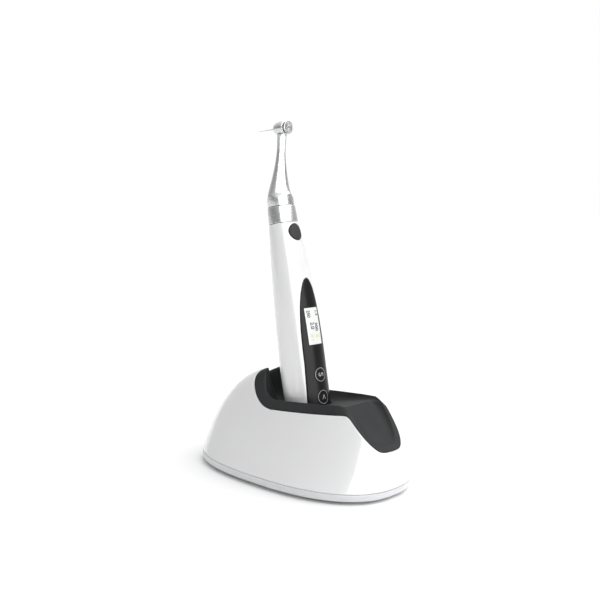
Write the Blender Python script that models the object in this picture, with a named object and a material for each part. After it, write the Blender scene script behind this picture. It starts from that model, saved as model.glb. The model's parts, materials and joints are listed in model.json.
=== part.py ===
"""Endodontic motor standing in its charging base, one object for each piece.

Lengths are millimetres in the named values and metres in the scene. World +X is the open
front of the base, +Y its left side and +Z up. The handpiece, the contra-angle neck and the
head each have an empty on their own axis, and their pieces are children of it. In those
frames local Z runs along the axis and local X points to the front.
"""
import math

import bmesh
import bpy
from mathutils import Matrix, Vector

MM = 0.001
GAP = 0.3            # clearance between pieces that touch
SLIDE = 0.35         # clearance around a piece that moves

# Base: plan half sizes, heights of the dome and its wall
BASE_LENGTH = 151.6
BASE_WIDTH = 86.0
FOOT_HEIGHT = 1.5
PLATE_RIM = 4.7
DOME_FOOT = 5.0      # height where the dome is widest
DOME_REAR_RISE = 62.5
DOME_FRONT_RISE = 108.0
DOME_SIDE_RISE = 64.0
DOME_TOP_HALF = 22.3
DOME_SIDE_POWER = 1.75
CORNER_LOW = 2.5     # superellipse exponent of the plan at the foot
CORNER_REAR = 2.15   # and higher up
CORNER_FRONT = 2.3
CORNER_RISE = 40.0
SHELL_WALL = 2.4
STATIONS = 64

# Side outline of the rim between shell and liner: corners and their fillet radii
RIM_CORNERS = [(-22.7, 90.0), (-22.7, 42.3), (54.2, 48.15), (72.9, 28.0), (96.0, 27.4)]
RIM_FILLETS = [22.0, 5.0, 4.0]
NOTCH_FLOOR = 54.0   # valley between the two horns behind the handpiece
NOTCH_RISE = 6.0
NOTCH_FALL = 0.1     # how much the valley drops per millimetre towards the rear
NOTCH_HALF = 9.5

# Liner crest: direction from the socket, then how far in from the rim and how far above it
CREST = [
    (0, 4.0, 2.2), (13, 3.4, 2.0), (18, 3.2, 2.4), (26, 3.6, 4.9), (60, 5.2, 5.0),
    (125, 5.4, 5.0), (143, 7.4, 4.4), (152, 6.0, 2.4), (162, 2.8, 0.4), (173, 6.0, 0.0), (180, 7.5, 0.0),
]
LINER_WALL = 1.8
EDGE_HEIGHT = 0.9
SHELF_FRONT = 47.0   # front edge of the flat shelf around the socket
SHELF_CORNER = 6.0
SHELF_S = 44.0       # height of the shelf along the handpiece

# Handpiece: axis, lengths along it and radii
TILT = math.radians(10.9)
AXIS_X = 14.4
TAIL_S = 17.0
TAIL_SEAM = 22.0
BELLY_S = 65.0
BODY_END = 158.2
BODY_RADIUS = 14.35
BODY_END_RADIUS = 9.35
TAIL_DROP = 1.2
BODY_BOW = 0.8
BODY_WALL = 1.8
SOCKET_CLEARANCE = 0.8
SOCKET_FLOOR_GAP = 1.4
FRONT_RING_LENGTH = 10.4
FRONT_RING_TOP = 8.5

# Panel, screen and keys
PANEL_TOP = 122.6
PANEL_BOTTOM = 24.0
PANEL_SPRING = 70.0
PANEL_HALF = 9.2
PANEL_FLARE = 0.035
PANEL_PROUD = 0.25
PANEL_THICK = 1.5
SCREEN_CENTRE = 92.7
SCREEN_HALF_WIDTH = 5.7
SCREEN_HALF_HEIGHT = 11.6
SCREEN_THICK = 1.9
KEY_RADIUS = 4.7
KEY_PITCH = 13.8
KEY_FIRST = 62.7
KEY_THICK = 2.0
KEY_TRAVEL = 0.3
BUTTON_CENTRE = 151.6
BUTTON_HALF_WIDTH = 4.9
BUTTON_HALF_HEIGHT = 5.1
BUTTON_PROUD = 0.7
BUTTON_THICK = 2.4
BUTTON_TRAVEL = 0.8

# Power train
BATTERY_RADIUS = 9.0
BATTERY_LENGTH = 65.0
BATTERY_START = 30.0
BOARD_THICK = 1.2
BOARD_HALF = 7.0
BOARD_START = 27.0
BOARD_END = 118.0
BOARD_GAP = 0.08     # between the board's upper end and the body's wall
KEY_ROOM = 4.4       # from the body's front to the board, for the keys and the screen
MOTOR_RADIUS = 7.0
MOTOR_START = 100.0
MOTOR_LENGTH = 28.0
GEARBOX_RADIUS = 6.5
GEARBOX_LENGTH = 14.5
MOUNT_THICK = 2.6
SPIGOT_RADIUS = 4.6
SPIGOT_END = 175.5
SPIGOT_BORE = 2.6
SHAFT_RADIUS = 1.2
BUSH_WALL = 0.9
DOG_LENGTH = 2.2

# Contra-angle
BEND_S = 177.6
BEND = math.radians(14.9)
SKIRT_RADIUS = 8.3
SKIRT_LENGTH = 5.0
NECK_RADIUS = 2.8
NECK_FLARE = 4.6
NECK_TAPER = 27.0
NECK_TOP_RADIUS = 3.05
NECK_WALL = 0.85
HEAD_N = 39.9        # head centre along the neck
HEAD_DROP = math.radians(3.5)
HEAD_RADIUS = 4.15
HEAD_NOSE = 5.7
HEAD_REAR = 3.8
HEAD_BORE = 3.6
CAP_RADIUS = 3.95
CAP_FACE = 5.8
CAP_THICK = 1.05
CAP_TRAVEL = 0.7
CAP_SPRING_OUTER = 3.1
CAP_SPRING_INNER = 2.4
CAP_SPRING_THICK = 0.12
CAP_SPRING_WAVE = 0.1
SHANK_RADIUS = 1.175
SPINDLE_RADIUS = 1.8
FILE_LENGTH = 16.0
BEARING_LOW = 1.75
BEARING_TOP = 2.4

# Gears
PINION_TEETH = 7
CHUCK_TEETH = 12
CROWN_TEETH = 10
CHUCK_PITCH_RADIUS = 2.7
GEAR_FACE = 0.9
TOOTH_HEIGHT = 0.26
TOOTH_SHARE = 0.36
CROWN_RADIUS = 2.9
CROWN_INNER = 1.9
CROWN_TOOTH = 0.5

# Contacts, fasteners and feet
PIN_RADIUS = 0.9
PIN_SIDE = 4.0
PIN_TRAVEL = 1.0
PIN_PROUD = 1.2
BLOCK_RADIUS = 6.6
BLOCK_DEPTH = 8.7
PAD_RADIUS = 1.8
PAD_THICK = 0.4
SCREW_X = 52.0
SCREW_Y = 23.0
SCREW_SHANK = 1.4
SCREW_HEAD = 2.8
SCREW_REACH = 7.0
BOSS_RADIUS = 3.6
FOOT_X = 40.0
FOOT_Y = 26.0
FOOT_RADIUS = 5.5
JACK_Z = 12.0
JACK_HOLE = 4.4


# ---------------------------------------------------------------- scene and materials
def clear_scene():
    for item in list(bpy.data.objects):
        bpy.data.objects.remove(item, do_unlink=True)


def material(name, colour, roughness, metallic=0.0):
    found = bpy.data.materials.get(name)
    if found:
        return found
    made = bpy.data.materials.new(name)
    made.use_nodes = True
    shader = made.node_tree.nodes["Principled BSDF"]
    shader.inputs["Base Color"].default_value = (*colour, 1.0)
    shader.inputs["Roughness"].default_value = roughness
    shader.inputs["Metallic"].default_value = metallic
    made.diffuse_color = (*colour, 1.0)
    return made


def white_plastic():
    return material("white_plastic", (0.86, 0.86, 0.87), 0.22)


def grey_plastic():
    return material("grey_plastic", (0.62, 0.63, 0.65), 0.35)


def dark_plastic():
    return material("dark_plastic", (0.035, 0.036, 0.04), 0.45)


def black_gloss():
    return material("black_gloss", (0.008, 0.008, 0.009), 0.08)


def screen_glass():
    return material("screen_glass", (0.85, 0.87, 0.84), 0.15)


def dark_rubber():
    return material("dark_rubber", (0.03, 0.03, 0.032), 0.75)


def polished_steel():
    return material("polished_steel", (0.72, 0.73, 0.74), 0.12, 1.0)


def brushed_steel():
    return material("brushed_steel", (0.58, 0.59, 0.6), 0.32, 1.0)


def brass():
    return material("brass", (0.78, 0.6, 0.28), 0.25, 1.0)


def board_green():
    return material("board_green", (0.02, 0.16, 0.07), 0.5)


def cell_blue():
    return material("cell_blue", (0.05, 0.12, 0.32), 0.4)


# ---------------------------------------------------------------- frames
def axis_empty(name, location, turn, parent=None):
    empty = bpy.data.objects.new(name, None)
    bpy.context.collection.objects.link(empty)
    empty.location = Vector(location) * MM
    empty.rotation_euler = (0.0, turn, 0.0)
    empty.parent = parent
    return empty


# ---------------------------------------------------------------- mesh helpers
def finish(name, bm, look, parent=None, sharp=35.0):
    bmesh.ops.recalc_face_normals(bm, faces=bm.faces)
    mesh = bpy.data.meshes.new(name)
    bm.to_mesh(mesh)
    bm.free()
    mesh.shade_smooth()
    mesh.set_sharp_from_angle(angle=math.radians(sharp))
    mesh.materials.append(look)
    made = bpy.data.objects.new(name, mesh)
    bpy.context.collection.objects.link(made)
    made.parent = parent
    return made


def loft(name, rows, look, parent=None, ring=False, sharp=35.0):
    """Skin through rows of points; a ring joins the last row to the first one."""
    bm = bmesh.new()
    loops = [[bm.verts.new(Vector(p) * MM) for p in row] for row in rows]
    pairs = list(zip(loops, loops[1:]))
    if ring:
        pairs.append((loops[-1], loops[0]))
    for low, high in pairs:
        for i in range(len(low)):
            j = (i + 1) % len(low)
            bm.faces.new((low[i], low[j], high[j], high[i]))
    if not ring:
        bm.faces.new(loops[0])
        bm.faces.new(loops[-1])
    return finish(name, bm, look, parent, sharp)


def circle(radius, height, steps, centre_x=0.0, centre_y=0.0):
    turns = [2 * math.pi * i / steps for i in range(steps)]
    return [(centre_x + radius * math.cos(t), centre_y + radius * math.sin(t), height) for t in turns]


def turned(name, outline, look, parent=None, ring=False, steps=24, at=(0.0, 0.0)):
    """Body of revolution about local Z from (radius, height) points."""
    rows = [circle(r, z, steps, *at) for r, z in outline]
    return loft(name, rows, look, parent, ring)


def tube(name, outer, inner, low, high, look, parent=None, steps=24, at=(0.0, 0.0)):
    outline = [(outer, low), (outer, high), (inner, high), (inner, low)]
    return turned(name, outline, look, parent, True, steps, at)


def box(name, low, high, look, parent=None):
    bm = bmesh.new()
    bmesh.ops.create_cube(bm, size=1.0)
    size = (Vector(high) - Vector(low)) * MM
    middle = (Vector(high) + Vector(low)) * 0.5 * MM
    bmesh.ops.scale(bm, vec=size, verts=bm.verts)
    bmesh.ops.translate(bm, vec=middle, verts=bm.verts)
    return finish(name, bm, look, parent)


def as_cutter(item):
    item.hide_render = True
    item.display_type = "WIRE"
    return item


def cut(target, tool, operation="DIFFERENCE"):
    """Apply one Boolean and drop its tool, so that the node is a plain mesh."""
    as_cutter(tool)
    modifier = target.modifiers.new("cut", "BOOLEAN")
    modifier.operation = operation
    modifier.object = tool
    bpy.context.view_layer.update()
    depsgraph = bpy.context.evaluated_depsgraph_get()
    result = bpy.data.meshes.new_from_object(target.evaluated_get(depsgraph))
    target.modifiers.remove(modifier)
    target.data = result
    bpy.data.objects.remove(tool, do_unlink=True)
    result.shade_smooth()
    result.set_sharp_from_angle(angle=math.radians(35.0))


def coil(name, radius, wire, low, high, turns, look, parent, at=(0.0, 0.0)):
    """Round-wire compression spring along local Z."""
    rows = []
    steps = 8 * turns
    for i in range(steps + 1):
        turn = 2 * math.pi * i / 8
        height = low + wire + (high - low - 2 * wire) * i / steps
        row = []
        for k in range(5):
            around = 2 * math.pi * k / 5
            reach = radius + wire * math.cos(around)
            row.append((at[0] + reach * math.cos(turn), at[1] + reach * math.sin(turn),
                        height + wire * math.sin(around)))
        rows.append(row)
    return loft(name, rows, look, parent)


# ---------------------------------------------------------------- base surface
def power(value, exponent):
    return math.copysign(abs(value) ** exponent, value)


def dome_size(z, ahead):
    """Half length, half width and corner exponent of the outer surface at a height."""
    up = max(z - DOME_FOOT, 0.0)
    rise = DOME_FRONT_RISE if ahead else DOME_REAR_RISE
    reach = BASE_LENGTH / 2 * math.sqrt(max(1 - (up / rise) ** 2, 1e-4))
    narrow = max(1 - up / DOME_SIDE_RISE, 0.0) ** DOME_SIDE_POWER
    side = DOME_TOP_HALF + (BASE_WIDTH / 2 - DOME_TOP_HALF) * narrow
    high_corner = CORNER_FRONT if ahead else CORNER_REAR
    corner = CORNER_LOW + (high_corner - CORNER_LOW) * min(up / CORNER_RISE, 1.0)
    return reach, side, corner


def dome_point(turn, z):
    """Point on the base's outer surface at a plan angle and a height."""
    reach, side, corner = dome_size(z, math.cos(turn) > 0)
    return Vector((power(math.cos(turn), 2 / corner) * reach,
                   power(math.sin(turn), 2 / corner) * side, z))


def inside_dome(x, y, z):
    reach, side, corner = dome_size(z, x > 0)
    return (abs(x) / reach) ** corner + (abs(y) / side) ** corner < 1.0


def filleted(corners, radii, steps=8):
    """Polyline with each inner corner rounded by an arc."""
    points = [Vector(corners[0])]
    for before, corner, after, radius in zip(corners, corners[1:], corners[2:], radii):
        here = Vector(corner)
        back = (Vector(before) - here).normalized()
        ahead = (Vector(after) - here).normalized()
        half = back.angle(ahead) / 2
        centre = here + (back + ahead).normalized() * radius / math.sin(half)
        start = here + back * radius / math.tan(half) - centre
        end = here + ahead * radius / math.tan(half) - centre
        for i in range(steps + 1):
            points.append(centre + start.slerp(end, i / steps).normalized() * radius)
    points.append(Vector(corners[-1]))
    return points


RIM_LINE = filleted(RIM_CORNERS, RIM_FILLETS)


def rim_height(x):
    """Height of the rim outline over x, ahead of its upright rear stretch."""
    for a, b in zip(RIM_LINE, RIM_LINE[1:]):
        if b.x > a.x and a.x <= x <= b.x:
            return a.y + (b.y - a.y) * (x - a.x) / (b.x - a.x)
    return 1000.0


def above_rim(point):
    behind = max(RIM_CORNERS[0][0] - point.x, 0.0)
    valley = NOTCH_FLOOR + NOTCH_RISE * (point.y / NOTCH_HALF) ** 4 - NOTCH_FALL * behind
    in_valley = point.x < 0 and point.z > valley
    return in_valley or point.z > rim_height(point.x)


def rim_z(turn):
    low, high = DOME_FOOT, DOME_FOOT + DOME_REAR_RISE * 1.05
    steps = 60
    level = low
    for i in range(steps + 1):
        level = low + (high - low) * i / steps
        if above_rim(dome_point(turn, level)):
            break
    below, over = level - (high - low) / steps, level
    for _ in range(30):
        middle = (below + over) / 2
        if above_rim(dome_point(turn, middle)):
            over = middle
        else:
            below = middle
    return below


def dome_normal(turn, z):
    step = 0.01
    along = dome_point(turn + step, z) - dome_point(turn - step, z)
    upward = dome_point(turn, z + step * 10) - dome_point(turn, z - step * 10)
    return along.cross(upward).normalized(), upward.normalized()


def station_turns():
    return [2 * math.pi * (i + 0.5) / STATIONS for i in range(STATIONS)]


def build_base_shell():
    seam = FOOT_HEIGHT + PLATE_RIM + GAP
    shares = [0.0, 0.3, 0.6, 0.85, 1.0]
    outer, inner = [], []
    for share in shares:
        outer_row, inner_row = [], []
        for turn in station_turns():
            z = seam + (rim_z(turn) - seam) * share
            point = dome_point(turn, z)
            inside = point - dome_normal(turn, max(z, DOME_FOOT + 0.5))[0] * SHELL_WALL
            inside.z = max(inside.z, seam) if share > 0 else seam
            outer_row.append(point)
            inner_row.append(inside)
        outer.append(outer_row)
        inner.append(inner_row)
    shell = loft("base_shell", outer + inner[::-1], white_plastic(), ring=True, sharp=40)
    for sx in (1, -1):
        for sy in (1, -1):
            x, y = sx * SCREW_X, sy * SCREW_Y
            top = boss_top(x, y)
            boss = turned("boss", [(BOSS_RADIUS, seam), (BOSS_RADIUS, top)], white_plastic(),
                          at=(x, y), steps=16)
            cut(shell, boss, "UNION")
            bore_top = seam + SCREW_REACH + GAP
            bore = turned("bore", [(SCREW_SHANK + GAP, 0.0), (SCREW_SHANK + GAP, bore_top)],
                          white_plastic(), at=(x, y), steps=16)
            cut(shell, bore)
    hole = turned("jack_hole", [(JACK_HOLE, 0.0), (JACK_HOLE, SHELL_WALL * 6)], white_plastic())
    hole.matrix_world = jack_matrix(-BASE_LENGTH / 2 - SHELL_WALL * 3)
    cut(shell, hole)
    return shell


def boss_top(x, y):
    """Height at which a screw boss has run half way into the shell's wall."""
    z = FOOT_HEIGHT + PLATE_RIM + GAP
    far_x = x + math.copysign(BOSS_RADIUS + SHELL_WALL / 2, x)
    far_y = y + math.copysign(BOSS_RADIUS + SHELL_WALL / 2, y)
    while inside_dome(far_x, y, z) and inside_dome(x, far_y, z) and inside_dome(
            (x + far_x * 2) / 3, (y + far_y * 2) / 3, z):
        z += 0.5
    return z


def jack_matrix(x):
    return Matrix.Translation(Vector((x, 0.0, JACK_Z)) * MM) @ Matrix.Rotation(math.pi / 2, 4, "Y")


# ---------------------------------------------------------------- liner
def crest_offsets(direction):
    """Smooth blend of the crest list at a direction from the socket, in degrees."""
    angle = abs(direction)
    for (a, in_a, up_a), (b, in_b, up_b) in zip(CREST, CREST[1:]):
        if a <= angle <= b:
            t = (angle - a) / (b - a)
            t = t * t * (3 - 2 * t)
            return in_a + (in_b - in_a) * t, up_a + (up_b - up_a) * t
    return CREST[-1][1:]


def on_axis(s, b=0.0, y=0.0):
    """World point of handpiece coordinates."""
    return Vector((AXIS_X - math.sin(TILT) * s + math.cos(TILT) * b, y,
                   math.cos(TILT) * s + math.sin(TILT) * b))


def shelf_reach(aim, half):
    """Distance from the socket to the shelf's edge in one plan direction."""
    front = SHELF_FRONT - on_axis(SHELF_S).x
    cos_a, sin_a = math.cos(aim), abs(math.sin(aim))
    if cos_a <= 0:
        return half
    reach = ((cos_a / front) ** SHELF_CORNER + (sin_a / half) ** SHELF_CORNER) ** (-1 / SHELF_CORNER)
    return half + (reach - half) * min(cos_a / 0.5, 1.0)


def shelf_z(x):
    centre = on_axis(SHELF_S)
    return centre.z + (x - centre.x) * math.tan(TILT)


def build_base_liner():
    socket_top = BODY_RADIUS + SOCKET_CLEARANCE
    socket_low = body_radius(TAIL_SEAM) + SOCKET_CLEARANCE
    floor_s = TAIL_S - SOCKET_FLOOR_GAP
    centre = on_axis(SHELF_S)
    hole = BLOCK_RADIUS + GAP
    names = ["under_edge", "edge_low", "edge_high", "crest_out", "crest", "crest_in", "b1", "b2", "b3",
             "shelf", "mouth", "socket_mid", "socket_low", "floor", "hole_top", "hole_low",
             "out_low", "out_top", "shelf_under", "b3_under", "b2_under", "b1_under", "crest_under"]
    rows = {name: [] for name in names}
    for turn in station_turns():
        z = rim_z(turn)
        normal, upward = dome_normal(turn, z)
        rim = dome_point(turn, z)
        edge_low = rim + upward * GAP - normal * 0.1
        edge_high = edge_low + upward * EDGE_HEIGHT - normal * 0.15
        aim = math.atan2(rim.y, rim.x - centre.x)
        inward = Vector((-normal.x, -normal.y, 0)).normalized()
        if rim.x < RIM_CORNERS[1][0] + 12:
            inward = Vector((-math.cos(aim), -math.sin(aim), 0))
        reach_in, rise = crest_offsets(math.degrees(aim))
        crest = rim + inward * reach_in + Vector((0, 0, rise))
        aim = math.atan2(crest.y, crest.x - centre.x)
        out = Vector((math.cos(aim), math.sin(aim), 0))
        rounding = min(0.8, reach_in * 0.2)
        shelf = centre + out * shelf_reach(aim, socket_top + 0.7)
        shelf.z = shelf_z(shelf.x)
        lean = Vector((shelf.x, shelf.y, 0)).lerp(Vector((crest.x, crest.y, 0)), 0.62)
        lean.z = min(shelf.z, crest.z) + 0.08 * abs(crest.z - shelf.z)
        crest_in = crest - out * rounding - Vector((0, 0, rounding * 0.5))
        slope = [bezier(crest_in, lean, shelf, t) for t in (0.25, 0.5, 0.75)]
        local = math.atan2(shelf.y, (shelf.x - centre.x) / math.cos(TILT))
        rows["under_edge"].append(edge_low + inward * (SHELL_WALL + 0.2))
        rows["edge_low"].append(edge_low)
        rows["edge_high"].append(edge_high)
        rows["crest_out"].append(crest - inward * rounding - Vector((0, 0, rounding * 0.5)))
        rows["crest"].append(crest)
        rows["crest_in"].append(crest_in)
        for name, point in zip(("b1", "b2", "b3"), slope):
            rows[name].append(point)
            rows[name + "_under"].append(point + out * 1.3 - Vector((0, 0, 1.7)))
        rows["shelf"].append(shelf)
        rows["shelf_under"].append(shelf + out * 1.7 - Vector((0, 0, LINER_WALL + 0.4)))
        rows["crest_under"].append(crest - Vector((0, 0, LINER_WALL + 1.0)))
        circle_rows = [("mouth", socket_top, SHELF_S), ("socket_mid", socket_top - 0.1, 32.0),
                       ("socket_low", socket_low, TAIL_SEAM), ("floor", socket_low - 1.5, floor_s),
                       ("hole_top", hole, floor_s), ("hole_low", hole, floor_s - LINER_WALL),
                       ("out_low", socket_low + 0.4, floor_s - LINER_WALL),
                       ("out_top", socket_top + LINER_WALL, SHELF_S - LINER_WALL - 1.2)]
        for name, radius, s in circle_rows:
            rows[name].append(on_axis(s, radius * math.cos(local), radius * math.sin(local)))
    liner = loft("base_liner", [rows[name] for name in names], dark_plastic(), ring=True, sharp=50)
    return liner


def bezier(a, b, c, t):
    return a * (1 - t) ** 2 + b * 2 * t * (1 - t) + c * t * t


# ---------------------------------------------------------------- base plate and what it carries
def plan_row(inset, z):
    row = []
    for turn in station_turns():
        point = dome_point(turn, DOME_FOOT)
        normal = dome_normal(turn, DOME_FOOT + 0.5)[0]
        row.append((point.x - normal.x * inset, point.y - normal.y * inset, z))
    return row


def build_base_plate():
    low, high = FOOT_HEIGHT, FOOT_HEIGHT + PLATE_RIM
    floor = low + 2.5
    rows = [plan_row(3.4, low), plan_row(1.2, low + 0.6), plan_row(0.5, low + 2.0), plan_row(0.25, high),
            plan_row(3.2, high), plan_row(3.4, floor)]
    plate = loft("base_plate", rows, grey_plastic(), sharp=40)
    for sx in (1, -1):
        for sy in (1, -1):
            at = (sx * SCREW_X, sy * SCREW_Y)
            shank = SCREW_SHANK + GAP
            head = SCREW_HEAD + GAP
            outline = [(head, 0.0), (head, low + 1.2), (shank, low + 1.2), (shank, high + 1)]
            cut(plate, turned("hole", outline, grey_plastic(), at=at, steps=24))
    return plate


def build_base_fittings():
    floor = FOOT_HEIGHT + 2.5 + GAP
    corners = {"front_left": (1, 1), "front_right": (1, -1), "rear_left": (-1, 1), "rear_right": (-1, -1)}
    for corner, (sx, sy) in corners.items():
        at = (sx * SCREW_X, sy * SCREW_Y)
        top = FOOT_HEIGHT + PLATE_RIM + GAP + SCREW_REACH
        outline = [(SCREW_HEAD, FOOT_HEIGHT + 0.1), (SCREW_HEAD, FOOT_HEIGHT + 0.9),
                   (SCREW_SHANK, FOOT_HEIGHT + 0.9), (SCREW_SHANK, top - 0.8), (0.5, top)]
        turned("base_screw_" + corner, outline, brushed_steel(), at=at, steps=20)
        outline = [(FOOT_RADIUS - 0.5, 0.0), (FOOT_RADIUS, 0.4), (FOOT_RADIUS, FOOT_HEIGHT - GAP)]
        turned("foot_" + corner, outline, dark_rubber(), at=(sx * FOOT_X, sy * FOOT_Y), steps=24)
    box("ballast_weight", (33, -16, floor), (63, 16, floor + 9), brushed_steel())
    box("charger_board", (-66, -16, floor), (-14, 16, floor + 1.6), board_green())
    jack = box("power_jack", (-70.8, -5.2, floor + 1.6 + GAP), (-60, 5.2, JACK_Z + 4.6), dark_plastic())
    bore = turned("bore", [(3.0, 0.0), (3.0, 9.0)], dark_plastic(), steps=24)
    bore.matrix_world = jack_matrix(-72.4)
    cut(jack, bore)


def build_contacts(axis):
    floor_s = TAIL_S - SOCKET_FLOOR_GAP
    pad_low = TAIL_S - GAP - PAD_THICK
    pin_top = pad_low - GAP
    block_top = pin_top - PIN_PROUD
    block_low = min(block_top, floor_s) - BLOCK_DEPTH
    block = turned("contact_block", [(BLOCK_RADIUS, block_low), (BLOCK_RADIUS, block_top)],
                   dark_plastic(), axis)
    spring_low = block_low + 0.7 + GAP
    spring_high = spring_low + 3.2
    for side, sign in (("left", 1), ("right", -1)):
        at = (0.0, sign * PIN_SIDE)
        bore = turned("bore", [(PIN_RADIUS + SLIDE, block_low + 0.7), (PIN_RADIUS + SLIDE, block_top + 2)],
                      dark_plastic(), axis, at=at, steps=24)
        cut(block, bore)
        outline = [(PIN_RADIUS, spring_high + GAP), (PIN_RADIUS, pin_top - 0.4), (PIN_RADIUS * 0.5, pin_top)]
        turned("contact_pin_" + side, outline, brass(), axis, at=at, steps=20)
        coil("contact_spring_" + side, 0.78, 0.14, spring_low, spring_high, 5, brushed_steel(), axis, at)
        turned("charge_pad_" + side, [(PAD_RADIUS, pad_low), (PAD_RADIUS, pad_low + PAD_THICK)],
               brass(), axis, at=at, steps=24)


# ---------------------------------------------------------------- handpiece
def body_radius(s):
    if s <= BELLY_S:
        return BODY_RADIUS - TAIL_DROP * ((BELLY_S - s) / (BELLY_S - TAIL_S)) ** 2
    share = (s - BELLY_S) / (BODY_END - BELLY_S)
    return BODY_RADIUS - (BODY_RADIUS - BODY_END_RADIUS) * share ** 2


def body_bow(s):
    share = (s - BELLY_S) / (BODY_END - BELLY_S)
    return BODY_BOW * math.sin(math.pi * share) if 0 < share < 1 else 0.0


def body_front(s, y):
    """Local X of the body's front surface."""
    return body_bow(s) + math.sqrt(max(body_radius(s) ** 2 - y * y, 0.01))


def panel_half(s):
    if s <= PANEL_SPRING:
        return PANEL_HALF + (PANEL_SPRING - s) * PANEL_FLARE
    share = min((s - PANEL_SPRING) / (PANEL_TOP - PANEL_SPRING), 1.0)
    return PANEL_HALF * max(1 - share ** 2.6, 0.0) ** 0.52


def panel_outline(grow):
    """Closed outline of the panel as (y, s), grown by a clearance."""
    low = PANEL_BOTTOM - grow
    heights = [low + (PANEL_SPRING - low) * i / 4 for i in range(5)]
    arch = [PANEL_SPRING + (PANEL_TOP - PANEL_SPRING) * math.sin(math.pi / 2 * i / 12) for i in range(1, 12)]
    right = [(panel_half(s) + grow, s) for s in heights + arch]
    left = [(-y, s) for y, s in reversed(right)]
    return right + [(0.0, PANEL_TOP + grow)] + left


def prism_x(name, outline, low, high, parent):
    rows = [[(x, y, s) for y, s in outline] for x in (low, high)]
    return loft(name, rows, dark_plastic(), parent)


def ellipse_outline(half_width, half_height, centre, steps=20):
    turns = [2 * math.pi * i / steps for i in range(steps)]
    return [(half_width * math.cos(t), centre + half_height * math.sin(t)) for t in turns]


def wrapped_plate(name, outline, centre, proud, thick, look, parent, edge=0.15, sharp=30.0):
    """Plate that follows the body's front: an outline shrunk in rings to its centre."""
    def ring(share, lift):
        row = []
        for y, s in outline:
            ys, ss = y * share, centre + (s - centre) * share
            row.append((body_front(ss, ys) + lift, ys, ss))
        return row
    tops = [ring(share, proud) for share in (0.96, 0.5, 0.08)]
    under = [ring(share, proud - thick) for share in (0.08, 0.5, 1.0)]
    rows = under + [ring(1.0, proud - edge)] + tops
    return loft(name, rows, look, parent, sharp=sharp)


def panel_grid(name, look, parent):
    """The panel's own solid: strips across its width, following the body's front."""
    low = PANEL_BOTTOM
    heights = [low + (PANEL_SPRING - low) * i / 3 for i in range(4)]
    heights += [PANEL_SPRING + (PANEL_TOP - PANEL_SPRING) * math.sin(math.pi / 2 * i / 10) for i in range(1, 10)]
    heights.append(PANEL_TOP - 0.15)
    across = 8
    rows = []
    for s in heights:
        half = panel_half(s)
        top = [half * (-1 + 2 * k / across) for k in range(across + 1)]
        row = [(body_front(s, y) + PANEL_PROUD, y, s) for y in top]
        row += [(body_front(s, y) + PANEL_PROUD - PANEL_THICK, y, s) for y in reversed(top)]
        rows.append(row)
    return loft(name, rows, look, parent)


def build_body_shell(axis):
    heights = [TAIL_SEAM + GAP + (BODY_END - TAIL_SEAM - GAP) * i / 10 for i in range(11)]
    outer = [circle(body_radius(s), s, 32, body_bow(s)) for s in heights]
    inner = [circle(body_radius(s) - BODY_WALL, s, 32, body_bow(s)) for s in heights]
    shell = loft("body_shell", outer + inner[::-1], white_plastic(), axis, ring=True)
    cut(shell, prism_x("window", panel_outline(GAP), 4.0, BODY_RADIUS * 2, axis))
    clearance = ellipse_outline(BUTTON_HALF_WIDTH + SLIDE, BUTTON_HALF_HEIGHT + SLIDE, BUTTON_CENTRE)
    cut(shell, prism_x("window", clearance, 3.0, BODY_RADIUS * 2, axis))
    return shell


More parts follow.
